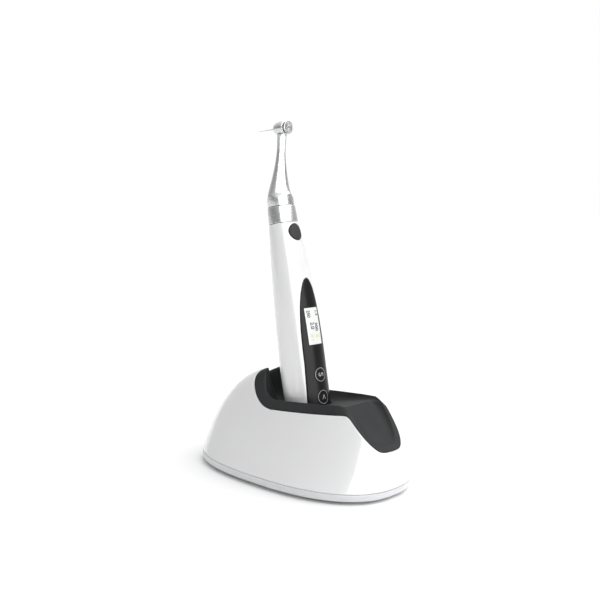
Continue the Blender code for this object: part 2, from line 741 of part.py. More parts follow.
def build_handpiece(axis):
    build_body_shell(axis)
    plug = body_radius(TAIL_SEAM) - BODY_WALL - GAP
    rim = body_radius(TAIL_SEAM)
    outline = [(rim - 4.2, TAIL_S), (rim - 1.6, TAIL_S + 0.5), (rim - 0.5, TAIL_S + 1.7), (rim, TAIL_SEAM),
               (plug, TAIL_SEAM), (plug, TAIL_SEAM + 1.6), (plug - 1.5, TAIL_SEAM + 1.6), (plug - 1.5, TAIL_S + 2.4)]
    turned("tail_cap", outline, white_plastic(), axis, steps=32)

    panel = panel_grid("display_panel", black_gloss(), axis)
    for i in range(3):
        centre = KEY_FIRST - i * KEY_PITCH
        hole = ellipse_outline(KEY_RADIUS + SLIDE, KEY_RADIUS + SLIDE, centre)
        cut(panel, prism_x("hole", hole, 4.0, BODY_RADIUS * 2, axis))
    window = screen_outline(GAP)
    cut(panel, prism_x("hole", window, 4.0, BODY_RADIUS * 2, axis))
    wrapped_plate("display_screen", screen_outline(0.0, 4), SCREEN_CENTRE, PANEL_PROUD - 0.1, SCREEN_THICK,
                  screen_glass(), axis)

    for i, name in enumerate(("key_set", "key_left", "key_right")):
        centre = KEY_FIRST - i * KEY_PITCH
        outline = ellipse_outline(KEY_RADIUS, KEY_RADIUS, centre)
        wrapped_plate(name, outline, centre, PANEL_PROUD + 0.1, KEY_THICK, black_gloss(), axis)
    outline = ellipse_outline(BUTTON_HALF_WIDTH, BUTTON_HALF_HEIGHT, BUTTON_CENTRE)
    wrapped_plate("power_button", outline, BUTTON_CENTRE, BUTTON_PROUD, BUTTON_THICK, dark_rubber(), axis, 0.5)

    inside_top = body_radius(BOARD_END) - BODY_WALL
    reach = body_bow(BOARD_END) + math.sqrt(inside_top ** 2 - BOARD_HALF ** 2)
    front = min(body_radius(PANEL_BOTTOM) - KEY_ROOM, reach - BOARD_GAP)
    box("main_board", (front - BOARD_THICK, -BOARD_HALF, BOARD_START), (front, BOARD_HALF, BOARD_END),
        board_green(), axis)
    battery_end = BATTERY_START + BATTERY_LENGTH
    back = BATTERY_RADIUS + GAP * 2 + body_bow(battery_end) + BODY_WALL - body_radius(battery_end)
    turned("battery", [(BATTERY_RADIUS - 0.6, BATTERY_START), (BATTERY_RADIUS, BATTERY_START + 0.6),
                       (BATTERY_RADIUS, battery_end - 0.6),
                       (BATTERY_RADIUS - 0.6, battery_end)], cell_blue(), axis, at=(back, 0.0))

    end = MOTOR_START + MOTOR_LENGTH
    turned("motor", [(MOTOR_RADIUS - 0.5, MOTOR_START), (MOTOR_RADIUS, MOTOR_START + 0.5),
                     (MOTOR_RADIUS, end)], brushed_steel(), axis)
    start = end + GAP
    end = start + GEARBOX_LENGTH
    turned("gearbox", [(GEARBOX_RADIUS, start), (GEARBOX_RADIUS, end)], brass(), axis)
    start = end + GAP
    end = start + MOUNT_THICK
    wide = body_radius(end) - body_bow(start) - BODY_WALL - GAP * 1.5
    tube("motor_mount", wide, SHAFT_RADIUS + SLIDE, start, end, dark_plastic(), axis)
    shaft_low = start
    start = end + GAP
    ring_low = BODY_END + GAP
    outline = [(SPIGOT_RADIUS, start), (SPIGOT_RADIUS, SPIGOT_END - 0.5), (SPIGOT_RADIUS - 0.5, SPIGOT_END),
               (SPIGOT_BORE, SPIGOT_END), (SPIGOT_BORE, start)]
    groove = ring_low + FRONT_RING_LENGTH - 1.6
    outline[1:1] = [(SPIGOT_RADIUS, groove - 0.9), (SPIGOT_RADIUS - 0.7, groove - 0.9),
                    (SPIGOT_RADIUS - 0.7, groove + 0.9), (SPIGOT_RADIUS, groove + 0.9)]
    turned("nose_spigot", outline, brushed_steel(), axis, ring=True)
    inner = SPIGOT_RADIUS - 0.7 + GAP
    tube("o_ring", inner + 0.8, inner, groove - 0.5, groove + 0.5, dark_rubber(), axis)
    bore = inner + 0.8 + GAP
    ring_top = ring_low + FRONT_RING_LENGTH
    outline = [(BODY_END_RADIUS - 0.25, ring_low), (BODY_END_RADIUS - 0.05, ring_low + 0.25),
               (FRONT_RING_TOP + 0.05, ring_top - 0.25), (FRONT_RING_TOP - 0.2, ring_top),
               (bore, ring_top), (bore, ring_low)]
    turned("front_ring", outline, polished_steel(), axis, ring=True, steps=32)

    tip = SPIGOT_END - DOG_LENGTH
    outline = [(SHAFT_RADIUS, shaft_low + GAP), (SHAFT_RADIUS, tip - 1.0), (SPIGOT_BORE - SLIDE, tip - 1.0),
               (SPIGOT_BORE - SLIDE, tip)]
    shaft = turned("motor_shaft", outline, brushed_steel(), axis)
    slot = box("slot", (-SPIGOT_BORE, -0.45, tip - 0.8), (SPIGOT_BORE, 0.45, tip + 1.0), brushed_steel(), axis)
    cut(shaft, slot)
    low = SPIGOT_RADIUS + GAP
    box("power_switch", (low, -2.2, BUTTON_CENTRE - 2.2), (low + 1.5, 2.2, BUTTON_CENTRE + 2.2),
        dark_plastic(), axis)


def screen_outline(grow, per_side=1):
    """Rectangle of the screen as (y, s), each side split into steps."""
    wide, tall = SCREEN_HALF_WIDTH - GAP + grow, SCREEN_HALF_HEIGHT - GAP + grow
    corners = [(wide, -tall), (wide, tall), (-wide, tall), (-wide, -tall)]
    points = []
    for (y0, s0), (y1, s1) in zip(corners, corners[1:] + corners[:1]):
        for i in range(per_side):
            t = i / per_side
            points.append((y0 + (y1 - y0) * t, SCREEN_CENTRE + s0 + (s1 - s0) * t))
    return points


# ---------------------------------------------------------------- contra-angle
def neck_radius(n):
    """Outer radius along the neck, n from the bend."""
    share = max(1 - n / NECK_TAPER, 0.0)
    taper = NECK_RADIUS + NECK_FLARE * share ** 1.6
    if n > NECK_TAPER:
        rise = (n - NECK_TAPER) / (HEAD_N - HEAD_RADIUS - NECK_TAPER)
        taper += (NECK_TOP_RADIUS - NECK_RADIUS) * min(rise, 1.0) ** 2
    return taper


def neck_row(n, radius, steps=28):
    """Ring across the bent neck in handpiece coordinates, flat sided where it meets the skirt."""
    bend_start, bend_end = -3.0, 6.0
    share = min(max((n - bend_start) / (bend_end - bend_start), 0.0), 1.0)
    turn = BEND * share * share * (3 - 2 * share)
    if n >= 0:
        centre = Vector((math.sin(BEND) * n, 0, BEND_S + math.cos(BEND) * n))
    else:
        centre = Vector((0, 0, BEND_S + n))
    across = Vector((math.cos(turn), 0, -math.sin(turn)))
    row = []
    for i in range(steps):
        t = 2 * math.pi * i / steps
        reach = radius(t) if callable(radius) else radius
        row.append(centre + across * (reach * math.cos(t)) + Vector((0, reach * math.sin(t), 0)))
    return row


def build_neck_sleeve(axis):
    skirt_low = BODY_END + GAP + FRONT_RING_LENGTH + GAP
    top = HEAD_N - HEAD_RADIUS - GAP
    bush_bore = SPIGOT_RADIUS + GAP + BUSH_WALL + GAP

    def flats(n):
        grow = neck_radius(n)
        return lambda t: min(SKIRT_RADIUS, grow * (1 + 0.05 * math.cos(4 * t)))

    start = skirt_low - BEND_S
    stations = [start + SKIRT_LENGTH * 0.55, -2.6, -1.2, 0.6, 3.0, 6.0, 10.0, 14.5, 19.5, 24.5, 29.5, top]
    outer = [neck_row(start, SKIRT_RADIUS - 0.2), neck_row(start + 0.25, SKIRT_RADIUS)]
    outer += [neck_row(n, flats(n)) for n in stations]
    bores = [(top, 2.15), (top - 3.6, 2.15), (top - 4.0, 1.75), (22.0, 1.75), (16.0, 2.2), (9.0, 3.6),
             (4.5, 4.2), (1.5, 4.2), (0.0, bush_bore), (start, bush_bore)]
    inner = [neck_row(n, radius) for n, radius in bores]
    return loft("neck_sleeve", outer + inner, polished_steel(), axis, ring=True, sharp=30)


def crown_rows(radius, base, direction, phase):
    """Rows of a face gear: root ring and raised teeth, 4 points for each tooth."""
    rows = {"rim": [], "face": [], "inner": []}
    count = CROWN_TEETH * 4
    for i in range(count):
        tooth, part = divmod(i, 4)
        half = math.pi / CROWN_TEETH * TOOTH_SHARE
        centre = 2 * math.pi * (tooth + phase) / CROWN_TEETH
        t = centre + (-half * 1.4, -half, half, half * 1.4)[part]
        lift = CROWN_TOOTH if part in (1, 2) else 0.0
        rows["rim"].append((radius * math.cos(t), radius * math.sin(t), base))
        rows["face"].append((radius * math.cos(t), radius * math.sin(t), base + direction * (0.8 + lift)))
        rows["inner"].append((CROWN_INNER * math.cos(t), CROWN_INNER * math.sin(t),
                              base + direction * (0.8 + lift)))
    turns = [math.atan2(p[1], p[0]) for p in rows["rim"]]
    return rows, turns


def ring_at(turns, radius, z):
    return [(radius * math.cos(t), radius * math.sin(t), z) for t in turns]


def bevel_rows(teeth, cone, outer, face, phase, direction):
    """Rows of a bevel gear from its large end to its small one, apex at the origin."""
    count = teeth * 4
    rows = []
    turns = []
    for reach in (outer, outer - face):
        radius = reach * math.sin(cone)
        height = -reach * math.cos(cone)
        row = []
        turns = []
        for i in range(count):
            tooth, part = divmod(i, 4)
            half = math.pi / teeth * TOOTH_SHARE
            t = 2 * math.pi * (tooth + phase) / teeth + (-half * 1.5, -half, half, half * 1.5)[part]
            depth = TOOTH_HEIGHT * reach / outer
            lift = depth if part in (1, 2) else -depth
            r = radius + lift * math.cos(cone)
            row.append((r * math.cos(t), r * math.sin(t), direction * (height + lift * math.sin(cone))))
            turns.append(t)
        rows.append(row)
    return rows, turns


def gear_cones():
    """Pitch cone half angles of the pinion and the chuck gear, and their cone distance."""
    between = math.pi / 2 - (BEND - TILT) - HEAD_DROP
    ratio = CHUCK_TEETH / PINION_TEETH
    pinion = math.atan2(math.sin(between), ratio + math.cos(between))
    chuck = between - pinion
    return pinion, chuck, CHUCK_PITCH_RADIUS / math.sin(chuck)


def build_contra_angle(axis, neck, head):
    build_neck_sleeve(axis)
    skirt_low = BODY_END + GAP + FRONT_RING_LENGTH + GAP
    bush_inner = SPIGOT_RADIUS + GAP
    tube("swivel_bush", bush_inner + BUSH_WALL, bush_inner, skirt_low, SPIGOT_END - 0.8, brass(), axis)

    # lower shaft: blade, journal and the lower face gear just under the bend
    crown_base = BEND_S - crown_back() - 0.8 - CROWN_TOOTH
    blade = SPIGOT_END - DOG_LENGTH + GAP
    rows, turns = crown_rows(CROWN_RADIUS, crown_base, 1, 0.0)
    outline = [ring_at(turns, SHAFT_RADIUS, blade), ring_at(turns, SHAFT_RADIUS, crown_base), rows["rim"],
               rows["face"], rows["inner"], ring_at(turns, CROWN_INNER * 0.98, crown_base + 0.7)]
    loft("drive_shaft", outline, brushed_steel(), axis)
    # upper shaft: upper face gear, shaft and the bevel pinion in the head
    pinion, chuck, reach = gear_cones()
    crown_base = crown_back() + 0.8 + CROWN_TOOTH
    rows, turns = crown_rows(CROWN_RADIUS, crown_base, -1, 0.5)
    lower = [ring_at(turns, CROWN_INNER * 0.98, crown_base - 0.7), rows["inner"], rows["face"], rows["rim"],
             ring_at(turns, SHAFT_RADIUS, crown_base)]
    loft("neck_crown", lower + [ring_at(turns, SHAFT_RADIUS, crown_base + 1.2)], brushed_steel(), neck)
    teeth, turns = bevel_rows(PINION_TEETH, pinion, reach, GEAR_FACE, 0.5, 1)
    teeth = [[(x, y, z + HEAD_N) for x, y, z in row] for row in teeth]
    back = HEAD_N - reach * math.cos(pinion) - TOOTH_HEIGHT
    start = crown_base + 1.2 + GAP
    outline = [ring_at(turns, SHAFT_RADIUS, start), ring_at(turns, SHAFT_RADIUS, back - 0.3)] + teeth
    loft("neck_shaft", outline, brushed_steel(), neck)
    bush = SHAFT_RADIUS + SLIDE
    tube("neck_bush", 1.45 + GAP / 4, bush - 0.2, 23.0, 27.0, brass(), neck, steps=24)

    # head: housing, bearings, chuck, file, cap and its spring
    outline = [(SHANK_RADIUS + 0.5, -HEAD_NOSE), (2.6, -HEAD_NOSE + 0.35), (3.5, -HEAD_NOSE + 1.2),
               (4.0, -HEAD_NOSE + 2.6), (HEAD_RADIUS, -HEAD_NOSE + 4.4), (HEAD_RADIUS, HEAD_REAR - 0.2),
               (HEAD_RADIUS - 0.2, HEAD_REAR), (HEAD_BORE, HEAD_REAR), (HEAD_BORE, -2.9), (3.0, -4.0),
               (3.0, -HEAD_NOSE + 0.9), (SHANK_RADIUS + 0.5, -HEAD_NOSE + 0.9)]
    housing = turned("head_housing", outline, polished_steel(), head, ring=True, steps=28)
    opening = turned("opening", [(2.15, HEAD_N - HEAD_RADIUS - 2.0), (2.15, HEAD_N - 1.0)],
                     polished_steel(), neck, steps=24)
    cut(housing, opening)
    bearing = SPINDLE_RADIUS + 0.2
    tube("front_bearing", 3.0 - GAP, bearing, -4.6, -3.4, brushed_steel(), head)
    tube("rear_bearing", HEAD_BORE - GAP, bearing, BEARING_LOW, BEARING_TOP, brushed_steel(), head)
    build_chuck(head, chuck, reach)
    turned("file", [(SHANK_RADIUS, 1.8), (SHANK_RADIUS, -HEAD_NOSE - 0.4), (0.5, -HEAD_NOSE - 0.8),
                    (0.12, -HEAD_NOSE - FILE_LENGTH)], brushed_steel(), head, steps=20)
    flange = CAP_FACE - CAP_THICK
    plunger = HEAD_BORE - SLIDE
    turned("head_cap", [(plunger, HEAD_REAR - 0.1), (plunger, flange), (CAP_RADIUS, flange),
                        (CAP_RADIUS, CAP_FACE - 0.25), (CAP_RADIUS - 0.3, CAP_FACE)],
           polished_steel(), head, steps=28)
    low = BEARING_TOP + CAP_SPRING_THICK
    high = HEAD_REAR - 0.1 - CAP_TRAVEL - CAP_SPRING_THICK
    wave_spring("cap_spring", (low + high) / 2, head)


def wave_spring(name, middle, parent):
    """Wavy spring washer under the cap, drawn at its pressed height."""
    steps = 36
    outline = [(CAP_SPRING_OUTER, 0.5), (CAP_SPRING_OUTER, -0.5), (CAP_SPRING_INNER, -0.5), (CAP_SPRING_INNER, 0.5)]
    rows = []
    for radius, side in outline:
        row = []
        for i in range(steps):
            t = 2 * math.pi * i / steps
            wave = middle + CAP_SPRING_WAVE * math.cos(3 * t)
            row.append((radius * math.cos(t), radius * math.sin(t), wave + side * CAP_SPRING_THICK))
        rows.append(row)
    return loft(name, rows, brushed_steel(), parent, ring=True)


def crown_back():
    """Half the distance between the two face gears' tooth tips along either axis at the bend."""
    return CROWN_RADIUS * math.tan(BEND / 2) - CROWN_TOOTH / 2 + 0.14


def build_chuck(head, chuck, reach):
    teeth, turns = bevel_rows(CHUCK_TEETH, chuck, reach, GEAR_FACE, 0.5, 1)
    back = -reach * math.cos(chuck) - TOOTH_HEIGHT * 1.2
    bore = SHANK_RADIUS + 0.28
    outline = [ring_at(turns, SPINDLE_RADIUS, -4.7), ring_at(turns, SPINDLE_RADIUS, back - 0.35)]
    outline += teeth
    outline += [ring_at(turns, SPINDLE_RADIUS, -reach * math.cos(chuck) + GEAR_FACE * 0.9),
                ring_at(turns, SPINDLE_RADIUS, 2.2), ring_at(turns, bore, 2.2), ring_at(turns, bore, -4.7)]
    loft("chuck_spindle", outline, brushed_steel(), head, ring=True)


def main():
    clear_scene()
    build_base_shell()
    build_base_liner()
    build_base_plate()
    build_base_fittings()
    handpiece = axis_empty("handpiece_axis", (AXIS_X, 0, 0), -TILT)
    build_contacts(handpiece)
    build_handpiece(handpiece)
    neck = axis_empty("neck_axis", (0, 0, BEND_S), BEND, handpiece)
    head_turn = math.pi / 2 - HEAD_DROP - (BEND - TILT)
    head = axis_empty("head_axis", (0, 0, HEAD_N), head_turn, neck)
    bpy.context.view_layer.update()
    build_contra_angle(handpiece, neck, head)


main()
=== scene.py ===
"""Looks of an endodontic motor standing in its charging base, laid out as a Blender add-on.

Formulas work in millimetres and meshes are written in metres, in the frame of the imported
model: +X is the base's open front, +Y its left side and +Z up. The handpiece, the neck and
the head are drawn in frames of their own, whose Z is the axis of a joint.
"""
import json
import math
from functools import lru_cache
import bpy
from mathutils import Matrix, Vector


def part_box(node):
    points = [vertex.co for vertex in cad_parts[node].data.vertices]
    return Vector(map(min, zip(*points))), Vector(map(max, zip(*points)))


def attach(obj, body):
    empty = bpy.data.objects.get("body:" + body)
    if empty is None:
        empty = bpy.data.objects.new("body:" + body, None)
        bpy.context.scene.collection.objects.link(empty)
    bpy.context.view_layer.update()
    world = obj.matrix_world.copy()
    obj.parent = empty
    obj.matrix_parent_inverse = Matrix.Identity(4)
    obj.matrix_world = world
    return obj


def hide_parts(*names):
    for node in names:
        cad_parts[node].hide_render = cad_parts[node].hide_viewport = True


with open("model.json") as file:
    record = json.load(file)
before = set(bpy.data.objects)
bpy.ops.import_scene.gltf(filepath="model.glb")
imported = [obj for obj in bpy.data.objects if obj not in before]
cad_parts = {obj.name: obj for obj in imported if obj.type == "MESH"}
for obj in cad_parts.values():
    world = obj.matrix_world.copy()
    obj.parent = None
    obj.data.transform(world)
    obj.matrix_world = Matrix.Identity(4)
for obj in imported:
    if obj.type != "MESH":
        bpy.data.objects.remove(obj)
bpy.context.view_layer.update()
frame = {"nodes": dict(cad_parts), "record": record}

from types import SimpleNamespace
from typing import NamedTuple

import bmesh
import bpy
from bpy.props import FloatProperty, FloatVectorProperty, IntProperty, PointerProperty
from mathutils import Matrix, Vector

bl_info = {
    "name": "Endodontic Motor",
    "version": (1, 0, 0),
    "blender": (4, 5, 0),
    "location": "3D View > Sidebar > Endo Motor",
    "description": "Builds the visible pieces of an endodontic motor in its charging base",
    "category": "Object",
}

MM = 0.001
GAP = 0.3
SLIDE = 0.35
JOINTS = {joint["name"]: joint for joint in frame["record"]["behaviour"]["joints"]}


def joint_frame(name):
    """Frame of a joint in millimetres: Z along its axis, Y to the object's left."""
    joint = JOINTS[name]
    up = Vector(joint["axis"]).normalized()
    left = Vector((0.0, 1.0, 0.0))
    ahead = left.cross(up)
    turn = Matrix((ahead, left, up)).transposed().to_4x4()
    return Matrix.Translation(Vector(joint["pos_m"]) / MM) @ turn


WORLD = Matrix.Identity(4)
HANDPIECE = joint_frame("motor_spin")
NECK = joint_frame("neck_shaft_spin")
HEAD = joint_frame("chuck_spin")
TILT = math.atan2(-HANDPIECE.col[2].x, HANDPIECE.col[2].z)
BEND_S = (HANDPIECE.inverted() @ NECK.translation).z
BEND = math.atan2(NECK.col[2].x, NECK.col[2].z) + TILT
HEAD_N = (NECK.inverted() @ HEAD.translation).z


# ---------------------------------------------------------------- settings
def length(label, note, size):
    """Length property whose default is given in millimetres."""
    return FloatProperty(name=label, description=note, default=size * MM, unit="LENGTH", precision=5)


def colour(label, note, value):
    return FloatVectorProperty(name=label, description=note, default=value, subtype="COLOR", size=3,
                               min=0.0, max=1.0)


def in_mm(group):
    """The values of a property group, with its lengths in millimetres."""
    values = {}
    for name in group.__annotations__:
        value = getattr(group, name)
        is_length = group.bl_rna.properties[name].unit == "LENGTH"
        values[name] = value / MM if is_length else value
    return SimpleNamespace(**values)


class EndoBaseSizes(bpy.types.PropertyGroup):
    length: length("Length", "Length of the base along X", 151.6)
    width: length("Width", "Width of the base along Y", 86.0)
    rear_rise: length("Rear rise", "Height over which the rear of the dome closes", 62.5)
    front_rise: length("Front rise", "Height over which the front of the dome would close", 108.0)
    notch: length("Notch floor", "Lowest point of the valley behind the handpiece", 54.0)
    wall: length("Wall", "Wall thickness of the shell", 2.4)
    edge: length("Edge", "Radius of the shell's upper edge", 0.5)
    plate_low: length("Plate bottom", "Height of the plate's underside", 1.5)
    plate_rim: length("Plate rim", "Height of the plate's visible rim", 4.7)
    screw_x: length("Screw X", "Distance of the screws from the middle along X", 52.0)
    screw_y: length("Screw Y", "Distance of the screws from the middle along Y", 23.0)
    foot_x: length("Foot X", "Distance of the feet from the middle along X", 40.0)
    foot_y: length("Foot Y", "Distance of the feet from the middle along Y", 26.0)
    foot_radius: length("Foot radius", "Radius of a rubber foot", 5.5)
    stations: IntProperty(name="Stations", description="Points around the dome", default=320, min=64)


class EndoLinerSizes(bpy.types.PropertyGroup):
    crest: length("Crest rounding", "Length rounded off each side of the crest", 1.7)
    clearance: length("Socket clearance", "Room around the handpiece in its socket", 0.8)
    shelf_front: length("Shelf front", "Where the shelf ends and the scoop starts", 47.0)
    shelf_s: length("Shelf height", "Height of the shelf along the handpiece", 44.0)
    wall: length("Wall", "Wall thickness of the liner", 1.8)


class EndoHandpieceSizes(bpy.types.PropertyGroup):
    tail: length("Tail", "Distance from the socket's foot to the tail", 17.0)
    seam: length("Tail seam", "Where the tail cap meets the body", 22.0)
    belly: length("Belly", "Where the body is thickest", 65.0)
    end: length("Body end", "Where the body meets the steel ring", 158.2)
    radius: length("Body radius", "Radius at the belly", 14.35)
    end_radius: length("End radius", "Radius at the steel ring", 9.35)
    tail_drop: length("Tail drop", "How much slimmer the tail is than the belly", 1.2)
    bow: length("Bow", "Forward bow of the upper body", 0.8)
    wall: length("Wall", "Wall thickness of the body", 1.8)
    panel_top: length("Panel top", "Tip of the black panel", 122.6)
    panel_low: length("Panel bottom", "Lower end of the black panel", 24.0)
    panel_spring: length("Panel arch", "Where the panel starts to narrow", 70.0)
    panel_half: length("Panel half width", "Half width of the panel at its arch", 9.2)
    panel_proud: length("Panel proud", "How far the panel stands out of the body", 0.25)
    panel_thick: length("Panel thickness", "Thickness of the panel", 1.5)
    screen_s: length("Screen height", "Middle of the screen along the handpiece", 92.7)
    screen_half_width: length("Screen half width", "Half width of the screen", 5.7)
    screen_half_height: length("Screen half height", "Half height of the screen", 11.6)
    key_radius: length("Key radius", "Radius of a panel key", 4.7)
    key_first: length("First key", "Middle of the upper key along the handpiece", 62.7)
    key_pitch: length("Key pitch", "Distance between keys", 13.8)
    button_s: length("Button height", "Middle of the power button along the handpiece", 151.6)
    button_half_width: length("Button half width", "Half width of the power button", 4.9)
    button_half_height: length("Button half height", "Half height of the power button", 5.1)


class EndoAngleSizes(bpy.types.PropertyGroup):
    ring_length: length("Ring length", "Length of the steel ring", 10.4)
    ring_top: length("Ring top radius", "Radius of the ring at its top", 8.5)
    skirt: length("Skirt radius", "Radius of the contra-angle's skirt", 8.3)
    neck: length("Neck radius", "Radius of the slim part of the neck", 2.8)
    flare: length("Flare", "How much the neck widens to the skirt", 4.6)
    taper: length("Taper", "Length over which the neck narrows", 27.0)
    neck_top: length("Neck top radius", "Radius of the neck at the head", 3.05)
    head: length("Head radius", "Radius of the head's housing", 4.15)
    nose: length("Nose", "Distance from the neck's axis to the nose", 5.7)
    rear: length("Rear", "Distance from the neck's axis to the housing's rear edge", 3.8)
    cap: length("Cap radius", "Radius of the push-button cap", 3.95)
    cap_face: length("Cap face", "Distance from the neck's axis to the cap's face", 5.8)
    blade: length("Blade", "Length of the file outside the head", 16.0)
    ribs: IntProperty(name="Cap ribs", description="Ribs on the cap's face", default=44, min=3)


class EndoFinishes(bpy.types.PropertyGroup):
    shell: colour("Shell", "Moulded white of the shell and body", (0.83, 0.832, 0.84))
    plate: colour("Plate", "Moulded grey of the base plate", (0.70, 0.705, 0.72))
    liner: colour("Liner", "Charcoal of the liner", (0.016, 0.0168, 0.018))
    panel: colour("Panel", "Black of the panel", (0.010, 0.010, 0.011))
    screen: colour("Screen", "Face of the display", (0.74, 0.76, 0.74))
    print: colour("Print", "Ink of the key marks", (0.45, 0.46, 0.47))
    digits: colour("Digits", "Dark segments of the display", (0.02, 0.02, 0.022))
    icons: colour("Icons", "Pale icons of the display", (0.72, 0.62, 0.36))
    steel: colour("Steel", "Polished stainless steel", (0.66, 0.665, 0.67))
    rubber: colour("Rubber", "Grey of the power button and the feet", (0.018, 0.0185, 0.02))


class EndoStage(bpy.types.PropertyGroup):
    lens: FloatProperty(name="Lens",
                        description="Focal length on a 36 mm sensor, in millimetres", default=53.0)
    camera: FloatVectorProperty(name="Camera", description="Place of the camera", unit="LENGTH",
                                default=(0.3809, -0.3865, 0.1748), precision=5)
    target: FloatVectorProperty(name="Target", description="Point that the camera looks at", unit="LENGTH",
                                default=(-0.00107, 0.00008, 0.10861), precision=5)
    key: FloatProperty(name="Top light",
                       description="Strength of the wide light from above", default=2.4)
    fill: FloatProperty(name="Front panel",
                        description="Power of the soft panel at the front in watts", default=1.2)
    gloss: FloatProperty(name="Gloss panel", description="Power of the panel seen in reflections, in watts",
                         default=22.0)
    sky: FloatProperty(name="Surroundings",
                       description="Brightness of the surroundings as a light", default=0.45)
    room: FloatProperty(name="Reflections",
                        description="Brightness of the surroundings in reflections", default=0.28)


# ---------------------------------------------------------------- meshes
def as_piece(name, bm, place=WORLD, sharp=35.0):
    """Turn a bmesh in millimetres into an object at the origin, with its place in its mesh."""
    bmesh.ops.recalc_face_normals(bm, faces=bm.faces)
    mesh = bpy.data.meshes.new(name)
    bm.to_mesh(mesh)
    bm.free()
    mesh.transform(Matrix.Scale(MM, 4) @ place)
    mesh.shade_smooth()
    mesh.set_sharp_from_angle(angle=math.radians(sharp))
    piece = bpy.data.objects.new(name, mesh)
    bpy.context.collection.objects.link(piece)
    return piece


def skin(name, rows, place=WORLD, ring=False, sharp=35.0):
    """Faces between rows of points; a ring joins the last row to the first, else ends are capped."""
    bm = bmesh.new()
    loops = [[bm.verts.new(Vector(point)) for point in row] for row in rows]
    pairs = list(zip(loops, loops[1:]))
    if ring:
        pairs.append((loops[-1], loops[0]))
    for low, high in pairs:
        for i in range(len(low)):
            j = (i + 1) % len(low)
            bm.faces.new((low[i], low[j], high[j], high[i]))
    if not ring:
        bm.faces.new(loops[0])
        bm.faces.new(loops[-1])
    return as_piece(name, bm, place, sharp)


def circle(radius, height, steps=96, centre=(0.0, 0.0)):
    turns = [2 * math.pi * i / steps for i in range(steps)]
    return [(centre[0] + radius * math.cos(t), centre[1] + radius * math.sin(t), height) for t in turns]


def turned(name, outline, place=WORLD, ring=False, steps=96, centre=(0.0, 0.0), sharp=35.0):
    """Body of revolution from (radius, height) points."""
    return skin(name, [circle(r, z, steps, centre) for r, z in outline], place, ring, sharp)


def rounded(points, trims, steps=5):
    """Path through points, with each inner corner replaced by a curve that starts a trim away."""
    path = [points[0]]
    for before, corner, after, trim in zip(points, points[1:], points[2:], trims):
        to_before, to_after = before - corner, after - corner
        back = min(trim, to_before.length * 0.48)
        ahead = min(trim, to_after.length * 0.48)
        if trim == 0 or back < 1e-4 or ahead < 1e-4:
            path.append(corner)
            continue
        start = corner + to_before.normalized() * back
        end = corner + to_after.normalized() * ahead
        path += [bezier(start, corner, end, i / steps) for i in range(steps + 1)]
    path.append(points[-1])
    return path


def soft_outline(points, trims, steps=5):
    """Rounded (radius, height) outline of a turned piece."""
    path = rounded([Vector((r, z, 0.0)) for r, z in points], trims, steps)
    return [(p.x, p.y) for p in path]


def bezier(a, b, c, t):
    return a * (1 - t) ** 2 + b * 2 * t * (1 - t) + c * t * t


def spread(low, high, count):
    return [low + (high - low) * i / (count - 1) for i in range(count)]


def boolean(piece, tool):
    """Cut the tool out of the piece, and drop the tool."""
    modifier = piece.modifiers.new("cut", "BOOLEAN")
    modifier.operation = "DIFFERENCE"
    modifier.object = tool
    result = settled_mesh(piece)
    piece.modifiers.remove(modifier)
    piece.data = result
    bpy.data.objects.remove(tool, do_unlink=True)
    result.shade_smooth()
    result.set_sharp_from_angle(angle=math.radians(35.0))
    return piece


def settled_mesh(piece):
    bpy.context.view_layer.update()
    depsgraph = bpy.context.evaluated_depsgraph_get()
    return bpy.data.meshes.new_from_object(piece.evaluated_get(depsgraph))


def prism(name, outline, low, high, place):
    """Solid along the frame's X from a closed (y, s) outline."""
    return skin(name, [[(x, y, s) for y, s in outline] for x in (low, high)], place)


def finish(piece, look, body, slot, *nodes):
    """Give a piece its material, the body it moves with and the nodes it stands for; the slot is not used."""
    piece.data.materials.clear()
    piece.data.materials.append(look)
    if nodes:
        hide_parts(*nodes)
    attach(piece, body)
    return piece


# ---------------------------------------------------------------- repeated parts
def tree_input(tree, label, kind, default=None):
    socket = tree.interface.new_socket(label, in_out="INPUT", socket_type=kind)
    if default is not None:
        socket.default_value = default
    return socket


